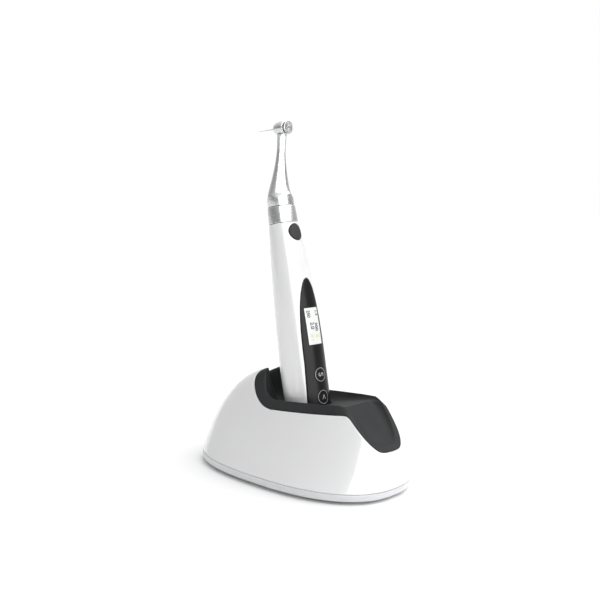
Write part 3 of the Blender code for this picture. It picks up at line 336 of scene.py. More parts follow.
def repeat_tree(name, layout):
    """Geometry nodes that set one part on the points of a ring or of a rectangle's corners."""
    tree = bpy.data.node_groups.new(name, "GeometryNodeTree")
    tree.interface.new_socket("Geometry", in_out="OUTPUT", socket_type="NodeSocketGeometry")
    tree_input(tree, "Part", "NodeSocketObject")
    tree_input(tree, "Look", "NodeSocketMaterial")
    tree_input(tree, "Count", "NodeSocketInt", 4)
    tree_input(tree, "Size X", "NodeSocketFloat", 0.1)
    tree_input(tree, "Size Y", "NodeSocketFloat", 0.1)
    nodes, links = tree.nodes, tree.links
    given = nodes.new("NodeGroupInput")
    result = nodes.new("NodeGroupOutput")
    part = nodes.new("GeometryNodeObjectInfo")
    part.inputs["As Instance"].default_value = True
    links.new(given.outputs["Part"], part.inputs["Object"])
    place = nodes.new("GeometryNodeInstanceOnPoints")
    if layout == "RING":
        points = nodes.new("GeometryNodeMeshCircle")
        links.new(given.outputs["Count"], points.inputs["Vertices"])
        links.new(given.outputs["Size X"], points.inputs["Radius"])
        where = nodes.new("GeometryNodeInputPosition")
        aim = nodes.new("FunctionNodeAlignEulerToVector")
        aim.axis = "X"
        aim.pivot_axis = "Z"
        links.new(where.outputs["Position"], aim.inputs["Vector"])
        links.new(aim.outputs["Rotation"], place.inputs["Rotation"])
    else:
        points = nodes.new("GeometryNodeMeshGrid")
        points.inputs["Vertices X"].default_value = 2
        points.inputs["Vertices Y"].default_value = 2
        links.new(given.outputs["Size X"], points.inputs["Size X"])
        links.new(given.outputs["Size Y"], points.inputs["Size Y"])
    links.new(points.outputs["Mesh"], place.inputs["Points"])
    links.new(part.outputs["Geometry"], place.inputs["Instance"])
    solid = nodes.new("GeometryNodeRealizeInstances")
    paint = nodes.new("GeometryNodeSetMaterial")
    links.new(place.outputs["Instances"], solid.inputs["Geometry"])
    links.new(solid.outputs["Geometry"], paint.inputs["Geometry"])
    links.new(given.outputs["Look"], paint.inputs["Material"])
    links.new(paint.outputs["Geometry"], result.inputs["Geometry"])
    return tree


def repeated(name, layout, part, look, size_x, size_y=0.0, count=4, place=WORLD):
    """One mesh made of copies of a part, which is then removed."""
    tree = bpy.data.node_groups.get("Repeat " + layout) or repeat_tree("Repeat " + layout, layout)
    holder = bpy.data.objects.new(name, bpy.data.meshes.new(name))
    bpy.context.collection.objects.link(holder)
    modifier = holder.modifiers.new("repeat", "NODES")
    modifier.node_group = tree
    sockets = {item.name: item.identifier for item in tree.interface.items_tree if item.in_out == "INPUT"}
    modifier[sockets["Part"]] = part
    modifier[sockets["Look"]] = look
    modifier[sockets["Count"]] = count
    modifier[sockets["Size X"]] = size_x * MM
    modifier[sockets["Size Y"]] = size_y * MM
    mesh = settled_mesh(holder)
    holder.modifiers.remove(modifier)
    holder.data = mesh
    bpy.data.objects.remove(part, do_unlink=True)
    mesh.transform(Matrix.Scale(MM, 4) @ place @ Matrix.Scale(1 / MM, 4))
    mesh.shade_smooth()
    mesh.set_sharp_from_angle(angle=math.radians(35.0))
    return holder


# ---------------------------------------------------------------- shader groups
def shader_group(name, inputs, output):
    """New shader node group with its inputs, one output and the two end nodes."""
    tree = bpy.data.node_groups.new(name, "ShaderNodeTree")
    for label, kind, value in inputs:
        tree_input(tree, label, kind, value)
    tree.interface.new_socket(output[0], in_out="OUTPUT", socket_type=output[1])
    return tree, tree.nodes.new("NodeGroupInput"), tree.nodes.new("NodeGroupOutput")


def noise(tree, vector, scale, detail=4.0):
    node = tree.nodes.new("ShaderNodeTexNoise")
    node.inputs["Detail"].default_value = detail
    tree.links.new(vector, node.inputs["Vector"])
    if isinstance(scale, (int, float)):
        node.inputs["Scale"].default_value = scale
    else:
        tree.links.new(scale, node.inputs["Scale"])
    return node.outputs["Fac"]


def maths(tree, operation, a, b):
    node = tree.nodes.new("ShaderNodeMath")
    node.operation = operation
    for socket, value in zip(node.inputs, (a, b)):
        if isinstance(value, (int, float)):
            socket.default_value = value
        else:
            tree.links.new(value, socket)
    return node.outputs["Value"]


def mix_colour(tree, share, a, b):
    node = tree.nodes.new("ShaderNodeMix")
    node.data_type = "RGBA"
    tree.links.new(share, node.inputs[0])
    tree.links.new(a, node.inputs[6])
    tree.links.new(b, node.inputs[7])
    return node.outputs[2]


def grain_group():
    """Height of a moulded surface: a fine grain over a slow waviness."""
    name = "Moulded Grain"
    if name in bpy.data.node_groups:
        return bpy.data.node_groups[name]
    tree, given, result = shader_group(name, [
        ("Vector", "NodeSocketVector", None), ("Grain Scale", "NodeSocketFloat", 3000.0),
        ("Wave Scale", "NodeSocketFloat", 60.0), ("Wave Share", "NodeSocketFloat", 0.3)],
        ("Height", "NodeSocketFloat"))
    fine = noise(tree, given.outputs["Vector"], given.outputs["Grain Scale"], 2.0)
    slow = noise(tree, given.outputs["Vector"], given.outputs["Wave Scale"], 1.0)
    slow = maths(tree, "MULTIPLY", slow, given.outputs["Wave Share"])
    tree.links.new(maths(tree, "ADD", fine, slow), result.inputs["Height"])
    return tree


def handled_group():
    """Roughness that wanders a little, as on a surface that hands have wiped."""
    name = "Handled Roughness"
    if name in bpy.data.node_groups:
        return bpy.data.node_groups[name]
    tree, given, result = shader_group(name, [
        ("Vector", "NodeSocketVector", None), ("Roughness", "NodeSocketFloat", 0.3),
        ("Spread", "NodeSocketFloat", 0.08), ("Scale", "NodeSocketFloat", 90.0)],
        ("Roughness", "NodeSocketFloat"))
    marks = noise(tree, given.outputs["Vector"], given.outputs["Scale"], 5.0)
    marks = maths(tree, "SUBTRACT", marks, 0.5)
    marks = maths(tree, "MULTIPLY", marks, given.outputs["Spread"])
    tree.links.new(maths(tree, "ADD", marks, given.outputs["Roughness"]), result.inputs["Roughness"])
    return tree


def dust_group():
    """Colour with a trace of pale dust on what faces up."""
    name = "Settled Dust"
    if name in bpy.data.node_groups:
        return bpy.data.node_groups[name]
    tree, given, result = shader_group(name, [
        ("Vector", "NodeSocketVector", None), ("Colour", "NodeSocketColor", (0.5, 0.5, 0.5, 1.0)),
        ("Dust", "NodeSocketColor", (0.5, 0.49, 0.47, 1.0)), ("Amount", "NodeSocketFloat", 0.03)],
        ("Colour", "NodeSocketColor"))
    facing = tree.nodes.new("ShaderNodeNewGeometry")
    split = tree.nodes.new("ShaderNodeSeparateXYZ")
    tree.links.new(facing.outputs["Normal"], split.inputs["Vector"])
    up = maths(tree, "MAXIMUM", split.outputs["Z"], 0.0)
    flecks = noise(tree, given.outputs["Vector"], 700.0, 6.0)
    share = maths(tree, "MULTIPLY", maths(tree, "MULTIPLY", up, flecks), given.outputs["Amount"])
    mixed = mix_colour(tree, share, given.outputs["Colour"], given.outputs["Dust"])
    tree.links.new(mixed, result.inputs["Colour"])
    return tree


def wear_group():
    """Colour that turns paler along worn edges."""
    name = "Edge Wear"
    if name in bpy.data.node_groups:
        return bpy.data.node_groups[name]
    tree, given, result = shader_group(name, [
        ("Vector", "NodeSocketVector", None), ("Colour", "NodeSocketColor", (0.5, 0.5, 0.5, 1.0)),
        ("Worn", "NodeSocketColor", (0.3, 0.3, 0.3, 1.0)), ("Amount", "NodeSocketFloat", 0.3)],
        ("Colour", "NodeSocketColor"))
    facing = tree.nodes.new("ShaderNodeNewGeometry")
    edge = tree.nodes.new("ShaderNodeMapRange")
    edge.inputs["From Min"].default_value = 0.53
    edge.inputs["From Max"].default_value = 0.62
    tree.links.new(facing.outputs["Pointiness"], edge.inputs["Value"])
    patches = noise(tree, given.outputs["Vector"], 250.0, 3.0)
    share = maths(tree, "MULTIPLY", edge.outputs["Result"], patches)
    share = maths(tree, "MULTIPLY", share, given.outputs["Amount"])
    mixed = mix_colour(tree, share, given.outputs["Colour"], given.outputs["Worn"])
    tree.links.new(mixed, result.inputs["Colour"])
    return tree


def machined_group():
    """Height of fine lines left by a lathe, across the Z of the vector that comes in."""
    name = "Machined Lines"
    if name in bpy.data.node_groups:
        return bpy.data.node_groups[name]
    tree, given, result = shader_group(name, [
        ("Vector", "NodeSocketVector", None), ("Spacing", "NodeSocketFloat", 0.00012)],
        ("Height", "NodeSocketFloat"))
    split = tree.nodes.new("ShaderNodeSeparateXYZ")
    tree.links.new(given.outputs["Vector"], split.inputs["Vector"])
    along = maths(tree, "DIVIDE", split.outputs["Z"], given.outputs["Spacing"])
    join = tree.nodes.new("ShaderNodeCombineXYZ")
    tree.links.new(along, join.inputs["Z"])
    tree.links.new(noise(tree, join.outputs["Vector"], 1.0, 3.0), result.inputs["Height"])
    return tree


def group_node(tree, group, **values):
    node = tree.nodes.new("ShaderNodeGroup")
    node.node_tree = group
    for label, value in values.items():
        node.inputs[label.replace("_", " ")].default_value = value
    return node


# ---------------------------------------------------------------- materials
def principled(name, roughness, metallic=0.0, coat=0.0):
    """New material with a Principled shader and Object coordinates."""
    look = bpy.data.materials.new(name)
    look.use_nodes = True
    tree = look.node_tree
    shader = tree.nodes["Principled BSDF"]
    shader.inputs["Roughness"].default_value = roughness
    shader.inputs["Metallic"].default_value = metallic
    shader.inputs["Coat Weight"].default_value = coat
    shader.inputs["Coat Roughness"].default_value = 0.08
    where = tree.nodes.new("ShaderNodeTexCoord").outputs["Object"]
    return look, tree, shader, where


def add_bump(tree, shader, height, strength, distance):
    bump = tree.nodes.new("ShaderNodeBump")
    bump.inputs["Strength"].default_value = strength
    bump.inputs["Distance"].default_value = distance
    tree.links.new(height, bump.inputs["Height"])
    tree.links.new(bump.outputs["Normal"], shader.inputs["Normal"])


def moulded(name, tint, roughness, coat=0.0, grain=2600.0, depth=0.00001, wave=0.3, spread_by=0.05,
            dust=0.03, worn=None, shine=0.5):
    """Moulded plastic or rubber: grain, slightly uneven gloss, a trace of dust and edge wear."""
    if name in bpy.data.materials:
        return bpy.data.materials[name]
    look, tree, shader, where = principled(name, roughness, coat=coat)
    shader.inputs["Specular IOR Level"].default_value = shine
    height = group_node(tree, grain_group(), Grain_Scale=grain, Wave_Share=wave)
    tree.links.new(where, height.inputs["Vector"])
    add_bump(tree, shader, height.outputs["Height"], 0.5, depth)
    gloss = group_node(tree, handled_group(), Roughness=roughness, Spread=spread_by)
    tree.links.new(where, gloss.inputs["Vector"])
    tree.links.new(gloss.outputs["Roughness"], shader.inputs["Roughness"])
    settled = group_node(tree, dust_group(), Colour=(*tint, 1.0), Amount=dust)
    tree.links.new(where, settled.inputs["Vector"])
    shown = settled.outputs["Colour"]
    if worn:
        edges = group_node(tree, wear_group(), Worn=(*worn, 1.0))
        tree.links.new(where, edges.inputs["Vector"])
        tree.links.new(shown, edges.inputs["Colour"])
        shown = edges.outputs["Colour"]
    tree.links.new(shown, shader.inputs["Base Color"])
    look.diffuse_color = (*tint, 1.0)
    return look


def metal(name, tint, roughness, axis=WORLD, spacing=0.00012, depth=0.0000003, spread_by=0.05):
    """Machined metal with lathe lines round the given axis."""
    if name in bpy.data.materials:
        return bpy.data.materials[name]
    look, tree, shader, where = principled(name, roughness, metallic=1.0)
    turn = tree.nodes.new("ShaderNodeMapping")
    turn.inputs["Rotation"].default_value = axis.to_3x3().inverted().to_euler()
    tree.links.new(where, turn.inputs["Vector"])
    lines = group_node(tree, machined_group(), Spacing=spacing)
    tree.links.new(turn.outputs["Vector"], lines.inputs["Vector"])
    add_bump(tree, shader, lines.outputs["Height"], 0.4, depth)
    gloss = group_node(tree, handled_group(), Roughness=roughness, Spread=spread_by, Scale=300.0)
    tree.links.new(where, gloss.inputs["Vector"])
    tree.links.new(gloss.outputs["Roughness"], shader.inputs["Roughness"])
    edges = group_node(tree, wear_group(), Colour=(*tint, 1.0), Worn=(0.9, 0.9, 0.9, 1.0), Amount=0.4)
    tree.links.new(where, edges.inputs["Vector"])
    tree.links.new(edges.outputs["Colour"], shader.inputs["Base Color"])
    look.diffuse_color = (*tint, 1.0)
    return look


def screen_with_painted_glow(name, tint):
    """Pale face of a display: a faint dot grid under a glossy cover, brightened by a faint painted glow."""
    if name in bpy.data.materials:
        return bpy.data.materials[name]
    look, tree, shader, where = principled(name, 0.3, coat=0.15)
    cells = tree.nodes.new("ShaderNodeTexVoronoi")
    cells.inputs["Scale"].default_value = 2400.0
    cells.inputs["Randomness"].default_value = 0.0
    tree.links.new(where, cells.inputs["Vector"])
    share = maths(tree, "MULTIPLY", cells.outputs["Distance"], 0.08)
    bright = tree.nodes.new("ShaderNodeRGB")
    bright.outputs["Color"].default_value = (*tint, 1.0)
    dim = tree.nodes.new("ShaderNodeRGB")
    dim.outputs["Color"].default_value = (*(c * 0.8 for c in tint), 1.0)
    shown = mix_colour(tree, share, bright.outputs["Color"], dim.outputs["Color"])
    tree.links.new(shown, shader.inputs["Base Color"])
    # Painted glow: the face's own colour is also given off as faint light, though the display is no lamp.
    tree.links.new(shown, shader.inputs["Emission Color"])
    shader.inputs["Emission Strength"].default_value = 0.12
    look.diffuse_color = (*tint, 1.0)
    return look


def finishes():
    return bpy.context.scene.endo_finishes


def white_shell():
    return moulded("White shell", finishes().shell, 0.24, coat=1.0, grain=1800.0, depth=0.000004)


def grey_plate():
    return moulded("Grey plate", finishes().plate, 0.30, coat=0.2, depth=0.000006)


def charcoal_liner():
    return moulded("Charcoal liner", finishes().liner, 0.6, grain=3400.0, depth=0.00003, dust=0.015,
                   worn=(0.04, 0.041, 0.043), shine=0.22)


def black_panel():
    return moulded("Black panel", finishes().panel, 0.3,
                   depth=0.000002, spread_by=0.06, dust=0.005, shine=0.15)


def soft_rubber():
    return moulded("Grey rubber", finishes().rubber, 0.62, grain=2200.0, depth=0.00006, dust=0.06,
                   worn=(0.06, 0.06, 0.062), shine=0.3)


def ink(name, tint):
    return moulded(name, tint, 0.4, depth=0.000004, dust=0.0)


def steel(name, axis, roughness=0.27):
    return metal(name, finishes().steel, roughness, axis)


def plain_looks():
    """Material for each slot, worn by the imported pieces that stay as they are."""
    return {
        "white_plastic": white_shell(),
        "grey_plastic": grey_plate(),
        "dark_plastic": charcoal_liner(),
        "black_gloss": black_panel(),
        "screen_glass": screen_with_painted_glow("Display face", finishes().screen),
        "dark_rubber": soft_rubber(),
        "polished_steel": steel("Ring steel", HANDPIECE),
        "brushed_steel": metal("Turned steel", (0.60, 0.605, 0.61), 0.3, HANDPIECE, depth=0.000003),
        "brass": metal("Gilt contacts", (0.83, 0.63, 0.29), 0.22, HANDPIECE),
        "board_green": moulded("Solder mask", (0.015, 0.12, 0.05), 0.35, coat=0.3),
        "cell_blue": moulded("Cell wrap", (0.04, 0.10, 0.30), 0.3, coat=0.3),
    }


# ---------------------------------------------------------------- base surface
def power(value, exponent):
    return math.copysign(abs(value) ** exponent, value)


def smooth(low, high, value):
    t = min(max((value - low) / (high - low), 0.0), 1.0)
    return t * t * (3 - 2 * t)


NOTCH_RISE = 6.0      # from the valley's floor to the rim at its sides
NOTCH_HALF = 9.5      # half of the valley's width
NOTCH_FALL = 0.1      # drop of the valley's floor per step to the rear
INLET_HEIGHT = 12.0
INLET_RADIUS = 4.4
INLET_DEPTH = 16.0    # length of the cutter, half of it outside the base
RIM_CORNERS = [(-22.7, 90.0), (-22.7, 42.3), (54.2, 48.15), (72.9, 28.0), (96.0, 27.4)]
RIM_FILLETS = [22.0, 5.0, 4.0]


@lru_cache(maxsize=None)
def rim_line(steps=24):
    """Side outline of the rim, with its inner corners rounded by arcs."""
    points = [Vector(RIM_CORNERS[0])]
    for before, corner, after, radius in zip(RIM_CORNERS, RIM_CORNERS[1:], RIM_CORNERS[2:], RIM_FILLETS):
        here = Vector(corner)
        back = (Vector(before) - here).normalized()
        ahead = (Vector(after) - here).normalized()
        half = back.angle(ahead) / 2
        centre = here + (back + ahead).normalized() * radius / math.sin(half)
        start = here + back * radius / math.tan(half) - centre
        end = here + ahead * radius / math.tan(half) - centre
        for i in range(steps + 1):
            points.append(centre + start.slerp(end, i / steps).normalized() * radius)
    points.append(Vector(RIM_CORNERS[-1]))
    return points


def rim_height(x):
    for a, b in zip(rim_line(), rim_line()[1:]):
        if b.x > a.x and a.x <= x <= b.x:
            return a.y + (b.y - a.y) * (x - a.x) / (b.x - a.x)
    return 1000.0


class Dome(NamedTuple):
    """Outer surface of the base, in millimetres, by a plan angle and a height."""
    length: float
    width: float
    rear_rise: float
    front_rise: float
    notch: float
    foot: float = 5.0
    side_rise: float = 64.0
    top_half: float = 22.3
    side_power: float = 1.75

    def point(self, turn, z):
        up = max(z - self.foot, 0.0)
        ahead = math.cos(turn) > 0
        rise = self.front_rise if ahead else self.rear_rise
        reach = self.length / 2 * math.sqrt(max(1 - (up / rise) ** 2, 1e-4))
        narrow = max(1 - up / self.side_rise, 0.0) ** self.side_power
        side = self.top_half + (self.width / 2 - self.top_half) * narrow
        corner = 2.5 + ((2.3 if ahead else 2.15) - 2.5) * min(up / 40.0, 1.0)
        return Vector((power(math.cos(turn), 2 / corner) * reach,
                       power(math.sin(turn), 2 / corner) * side, z))

    def above_rim(self, point):
        behind = max(RIM_CORNERS[0][0] - point.x, 0.0)
        valley = self.notch + NOTCH_RISE * (point.y / NOTCH_HALF) ** 4 - NOTCH_FALL * behind
        return (point.x < 0 and point.z > valley) or point.z > rim_height(point.x)

    def rim_z(self, turn):
        low, high = self.foot, self.foot + self.rear_rise * 1.05
        steps = 60
        below, over = low, high
        for i in range(1, steps + 1):
            level = low + (high - low) * i / steps
            if self.above_rim(self.point(turn, level)):
                below, over = level - (high - low) / steps, level
                break
        for _ in range(24):
            middle = (below + over) / 2
            if self.above_rim(self.point(turn, middle)):
                over = middle
            else:
                below = middle
        return below

    def normal(self, turn, z):
        step = 0.01
        along = self.point(turn + step, z) - self.point(turn - step, z)
        upward = self.point(turn, z + step * 10) - self.point(turn, z - step * 10)
        return along.cross(upward).normalized(), upward.normalized()


def dome_of(sizes):
    return Dome(sizes.length, sizes.width, sizes.rear_rise, sizes.front_rise, sizes.notch)


@lru_cache(maxsize=None)
def stations(dome, count):
    """(turn, rim height) pairs, spaced evenly along the rim."""
    fine = 900
    turns = [2 * math.pi * (i + 0.5) / fine for i in range(fine)]
    levels = [dome.rim_z(t) for t in turns]
    places = [dome.point(t, z) for t, z in zip(turns, levels)]
    feet = [dome.point(t, dome.foot) for t in turns]
    walked = [0.0]
    for i in range(1, fine + 1):
        a, b = i - 1, i % fine
        walked.append(walked[-1] + (places[b] - places[a]).length + 0.4 * (feet[b] - feet[a]).length)
    chosen = []
    i = 0
    for k in range(count):
        goal = walked[-1] * (k + 0.5) / count
        while walked[i + 1] < goal:
            i += 1
        share = (goal - walked[i]) / (walked[i + 1] - walked[i])
        turn = turns[i] + share * 2 * math.pi / fine
        chosen.append((turn, levels[i] + share * (levels[(i + 1) % fine] - levels[i])))
    return chosen


def build_shell(sizes):
    dome = dome_of(sizes)
    seam = sizes.plate_low + sizes.plate_rim + GAP
    outer = [[] for _ in range(34)]
    edge = [[] for _ in range(6)]
    inner = [[] for _ in range(9)]
    for turn, rim in stations(dome, sizes.stations):
        top = rim - sizes.edge
        foot = dome.point(turn, seam)
        foot_normal = dome.normal(turn, seam)[0]
        outer[0].append(foot - foot_normal * sizes.edge * 0.6)
        for i in range(1, len(outer)):
            share = (i - 1) / (len(outer) - 2)
            level = seam + sizes.edge * 0.6 + (top - seam - sizes.edge * 0.6) * share
            outer[i].append(dome.point(turn, level))
        normal, upward = dome.normal(turn, rim)
        corner = dome.point(turn, rim)
        for i in range(len(edge)):
            bend = math.pi / 2 * (i + 1) / len(edge)
            edge[i].append(corner - upward * sizes.edge * (1 - math.sin(bend))
                           - normal * sizes.edge * (1 - math.cos(bend)))
        for i in range(len(inner)):
            level = rim + (seam - rim) * i / (len(inner) - 1)
            across = dome.normal(turn, max(level, dome.foot + 0.5))[0]
            point = dome.point(turn, level) - across * sizes.wall
            point.z = max(point.z, seam) if i < len(inner) - 1 else seam
            inner[i].append(point)
    shell = skin("base_shell_skin", outer + edge + inner, ring=True)
    start = inlet_frame(-sizes.length / 2 - INLET_DEPTH / 2, INLET_HEIGHT)
    tool = turned("inlet_hole", [(INLET_RADIUS, 0.0), (INLET_RADIUS, INLET_DEPTH)], start, steps=64)
    boolean(shell, tool)
    return finish(shell, white_shell(), "base", "white_plastic", "base_shell")


def inlet_frame(x, z):
    return Matrix.Translation((x, 0.0, z)) @ Matrix.Rotation(math.pi / 2, 4, "Y")


# ---------------------------------------------------------------- liner
CREST = [
    (0, 4.0, 2.2), (13, 3.4, 2.0), (18, 3.2, 2.4), (26, 3.6, 4.9), (60, 5.2, 5.0),
    (125, 5.4, 5.0), (143, 7.4, 4.4), (152, 6.0, 2.4), (162, 2.8, 0.4), (173, 6.0, 0.0), (180, 7.5, 0.0),
]


def crest_offsets(direction):
    """How far in from the rim and above it the crest is, at a direction from the socket."""
    angle = abs(direction)
    for (a, in_a, up_a), (b, in_b, up_b) in zip(CREST, CREST[1:]):
        if a <= angle <= b:
            t = smooth(a, b, angle)
            return in_a + (in_b - in_a) * t, up_a + (up_b - up_a) * t
    return CREST[-1][1:]


def shelf_reach(aim, half, front):
    cos_a, sin_a = math.cos(aim), abs(math.sin(aim))
    if cos_a <= 0:
        return half
    reach = ((cos_a / front) ** 6 + (sin_a / half) ** 6) ** (-1 / 6)
    return half + (reach - half) * smooth(0.0, 0.5, cos_a)


def liner_profile(dome, turn, rim_z, sizes, socket):
    """Points across the liner at one station, from under its edge over the crest to the floor."""
    normal, upward = dome.normal(turn, rim_z)
    rim = dome.point(turn, rim_z)
    centre = socket.centre
    aim = math.atan2(rim.y, rim.x - centre.x)
    inward = Vector((-normal.x, -normal.y, 0)).normalized()
    radial = Vector((-math.cos(aim), -math.sin(aim), 0))
    inward = radial.lerp(inward, smooth(-22.0, 2.0, rim.x)).normalized()
    reach_in, rise = crest_offsets(math.degrees(aim))
    crest = rim + inward * reach_in + Vector((0, 0, rise + 0.35))
    aim = math.atan2(crest.y, crest.x - centre.x)
    out = Vector((math.cos(aim), math.sin(aim), 0))
    shelf = centre + out * shelf_reach(aim, socket.top + 0.7, sizes.shelf_front - centre.x)
    shelf.z = socket.level(shelf.x)
    lean = Vector((shelf.x, shelf.y, 0)).lerp(Vector((crest.x, crest.y, 0)), 0.62)
    lean.z = min(shelf.z, crest.z) + 0.08 * abs(crest.z - shelf.z)
    slope = [bezier(crest, lean, shelf, t) for t in spread(0.0, 1.0, 16)[1:]]
    start = rim + upward * GAP
    path = [start - normal * 1.9, start - normal * 0.12, start - normal * 0.2 + upward * 0.5, crest] + slope
    trims = [0.25, 0.6, sizes.crest] + [0.0] * (len(slope) - 1)
    shown = rounded(path, trims)
    local = math.atan2(shelf.y, (shelf.x - centre.x) / math.cos(TILT))
    ray = Vector((math.cos(local), math.sin(local), 0))
    for radius, s in socket.rings:
        shown.append(HANDPIECE @ (ray * radius + Vector((0, 0, s))))
    hidden = [HANDPIECE @ (ray * radius + Vector((0, 0, s))) for radius, s in socket.under]
    for t in (0.75, 0.5, 0.25):
        hidden.append(bezier(crest, lean, shelf, t) + out * 1.3 - Vector((0, 0, 1.7)))
    hidden.insert(len(socket.under), shelf + out * 1.7 - Vector((0, 0, sizes.wall + 0.4)))
    hidden.append(crest - Vector((0, 0, sizes.wall + 1.0)))
    return shown + hidden


def build_liner(base, sizes, hand):
    dome = dome_of(base)
    centre = HANDPIECE @ Vector((0, 0, sizes.shelf_s))
    top = hand.radius + sizes.clearance
    low = body_radius(hand, hand.seam) + sizes.clearance
    floor = hand.tail - 1.4
    hole = 6.9
    socket = SimpleNamespace(
        centre=centre, top=top,
        level=lambda x: centre.z + (x - centre.x) * math.tan(TILT),
        rings=[(top + 0.5, sizes.shelf_s), (top + 0.15, sizes.shelf_s - 0.15), (top, sizes.shelf_s - 0.5),
               (top - 0.1, 32.0), (low, hand.seam), (low - 1.5, floor), (hole, floor),
               (hole, floor - sizes.wall)],
        under=[(low + 0.4, floor - sizes.wall), (top + sizes.wall, sizes.shelf_s - sizes.wall - 1.2)])
    profiles = [liner_profile(dome, turn, z, sizes, socket) for turn, z in stations(dome, base.stations)]
    rows = [list(row) for row in zip(*profiles)]
    liner = skin("base_liner_skin", rows, ring=True, sharp=50.0)
    return finish(liner, charcoal_liner(), "base", "dark_plastic", "base_liner")


# ---------------------------------------------------------------- plate, feet and screws
def build_plate(sizes):
    dome = dome_of(sizes)
    low, high = sizes.plate_low, sizes.plate_low + sizes.plate_rim
    path = rounded([Vector(p) for p in ((3.4, low, 0), (1.0, low + 0.5, 0), (0.3, low + 2.4, 0), (0.25, high, 0),
                                        (3.2, high, 0), (3.4, low + 2.5, 0))], [1.6, 1.2, 0.5, 0.0])
    rows = []
    for inset, z, _ in path:
        row = []
        for turn, _ in stations(dome, sizes.stations):
            point = dome.point(turn, dome.foot)
            normal = dome.normal(turn, dome.foot + 0.5)[0]
            row.append((point.x - normal.x * inset, point.y - normal.y * inset, z))
        rows.append(row)
    plate = skin("base_plate_skin", rows, sharp=30.0)
    for sx in (1, -1):
        for sy in (1, -1):
            outline = [(3.1, 0.0), (3.1, low + 1.2), (1.7, low + 1.2), (1.7, high + 1)]
            place = (sx * sizes.screw_x, sy * sizes.screw_y)
            boolean(plate, turned("recess", outline, centre=place, steps=48))
    return finish(plate, grey_plate(), "base", "grey_plastic", "base_plate")


def build_feet(sizes):
    outline = [(0.6, 0.25), (1.6, 0.0), (3.2, 0.0), (3.5, 0.3), (3.9, 0.3), (4.2, 0.0), (4.9, 0.0), (5.5, 0.45),
               (sizes.foot_radius, 1.2)]
    part = turned("foot", outline, steps=64)
    feet = repeated("feet", "CORNERS", part, soft_rubber(), sizes.foot_x * 2, sizes.foot_y * 2)
    return finish(feet, soft_rubber(), "base", "dark_rubber", "foot_front_left", "foot_front_right",
                  "foot_rear_left", "foot_rear_right")


def build_screws(sizes):
    """Screws with a cross recess, seen under the plate."""
    low = sizes.plate_low + 0.1
    outline = soft_outline([(2.0, low), (2.8, low + 0.25), (2.8, low + 0.8), (1.4, low + 0.8),
                            (1.4, 12.7), (0.5, 13.5)],
                           [0.3, 0.15, 0.0, 0.0], 3)
    part = turned("screw", outline, steps=48)
    for wide, deep in ((0.28, 1.35), (1.35, 0.28)):
        outline = [(-wide, -deep), (wide, -deep), (wide, deep), (-wide, deep)]
        recess = skin("recess", [[(x, y, z) for x, y in outline] for z in (low - 1.0, low + 0.5)])
        boolean(part, recess)
    look = metal("Screw steel", (0.60, 0.605, 0.61), 0.28)
    screws = repeated("screws", "CORNERS", part, look, sizes.screw_x * 2, sizes.screw_y * 2)
    return finish(screws, look, "base", "brushed_steel", "base_screw_front_left", "base_screw_front_right",
                  "base_screw_rear_left", "base_screw_rear_right")


def build_inlet_pin():
    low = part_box("power_jack")[0][0] / MM
    outline = soft_outline([(0.35, 1.6), (0.8, 2.2), (0.8, 7.4), (0.5, 7.4)], [0.3, 0.0], 3)
    pin = turned("inlet_pin", outline, inlet_frame(low, 12.0), steps=32)
    return finish(pin, metal("Inlet steel", (0.6, 0.6, 0.6), 0.25), "base", "brushed_steel")


# ---------------------------------------------------------------- handpiece
def body_radius(hand, s):
    if s <= hand.belly:
        return hand.radius - hand.tail_drop * ((hand.belly - s) / (hand.belly - hand.tail)) ** 2
    share = (s - hand.belly) / (hand.end - hand.belly)
    return hand.radius - (hand.radius - hand.end_radius) * share ** 2


def body_bow(hand, s):
    share = (s - hand.belly) / (hand.end - hand.belly)
    return hand.bow * math.sin(math.pi * share) if 0 < share < 1 else 0.0


def body_front(hand, s, y):
    return body_bow(hand, s) + math.sqrt(max(body_radius(hand, s) ** 2 - y * y, 0.01))


def panel_half(hand, s):
    if s <= hand.panel_spring:
        return hand.panel_half + (hand.panel_spring - s) * 0.035
    share = min((s - hand.panel_spring) / (hand.panel_top - hand.panel_spring), 1.0)
    return hand.panel_half * max(1 - share ** 2.6, 0.0) ** 0.52


def panel_heights(hand, low, high, count=40):
    """Heights down the panel, close together where its arch turns."""
    lower = spread(low, hand.panel_spring, count)
    arch = [hand.panel_spring + (high - hand.panel_spring) * math.sin(math.pi / 2 * i / count)
            for i in range(1, count + 1)]
    return lower + arch


def panel_outline(hand, grow):
    heights = panel_heights(hand, hand.panel_low - grow, hand.panel_top, 24)[:-1]
    right = [(panel_half(hand, s) + grow, s) for s in heights]
    return right + [(0.0, hand.panel_top + grow)] + [(-y, s) for y, s in reversed(right)]


def oval(half_width, half_height, centre, steps=64):
    turns = [2 * math.pi * i / steps for i in range(steps)]
    return [(half_width * math.cos(t), centre + half_height * math.sin(t)) for t in turns]


def rounded_rectangle(half_width, half_height, centre, corner, steps=6):
    points = []
    for sx, sy, start in ((1, 1, 0.0), (-1, 1, 90.0), (-1, -1, 180.0), (1, -1, 270.0)):
        for i in range(steps + 1):
            t = math.radians(start + 90.0 * i / steps)
            points.append((sx * (half_width - corner) + corner * math.cos(t),
                           centre + sy * (half_height - corner) + corner * math.sin(t)))
    return points


def closer(outline, most=0.9):
    """The outline with long sides split, so that it can follow the body's curve."""
    points = []
    for (y0, s0), (y1, s1) in zip(outline, outline[1:] + outline[:1]):
        count = max(1, math.ceil(math.hypot(y1 - y0, s1 - s0) / most))
        points += [(y0 + (y1 - y0) * i / count, s0 + (s1 - s0) * i / count) for i in range(count)]
    return points


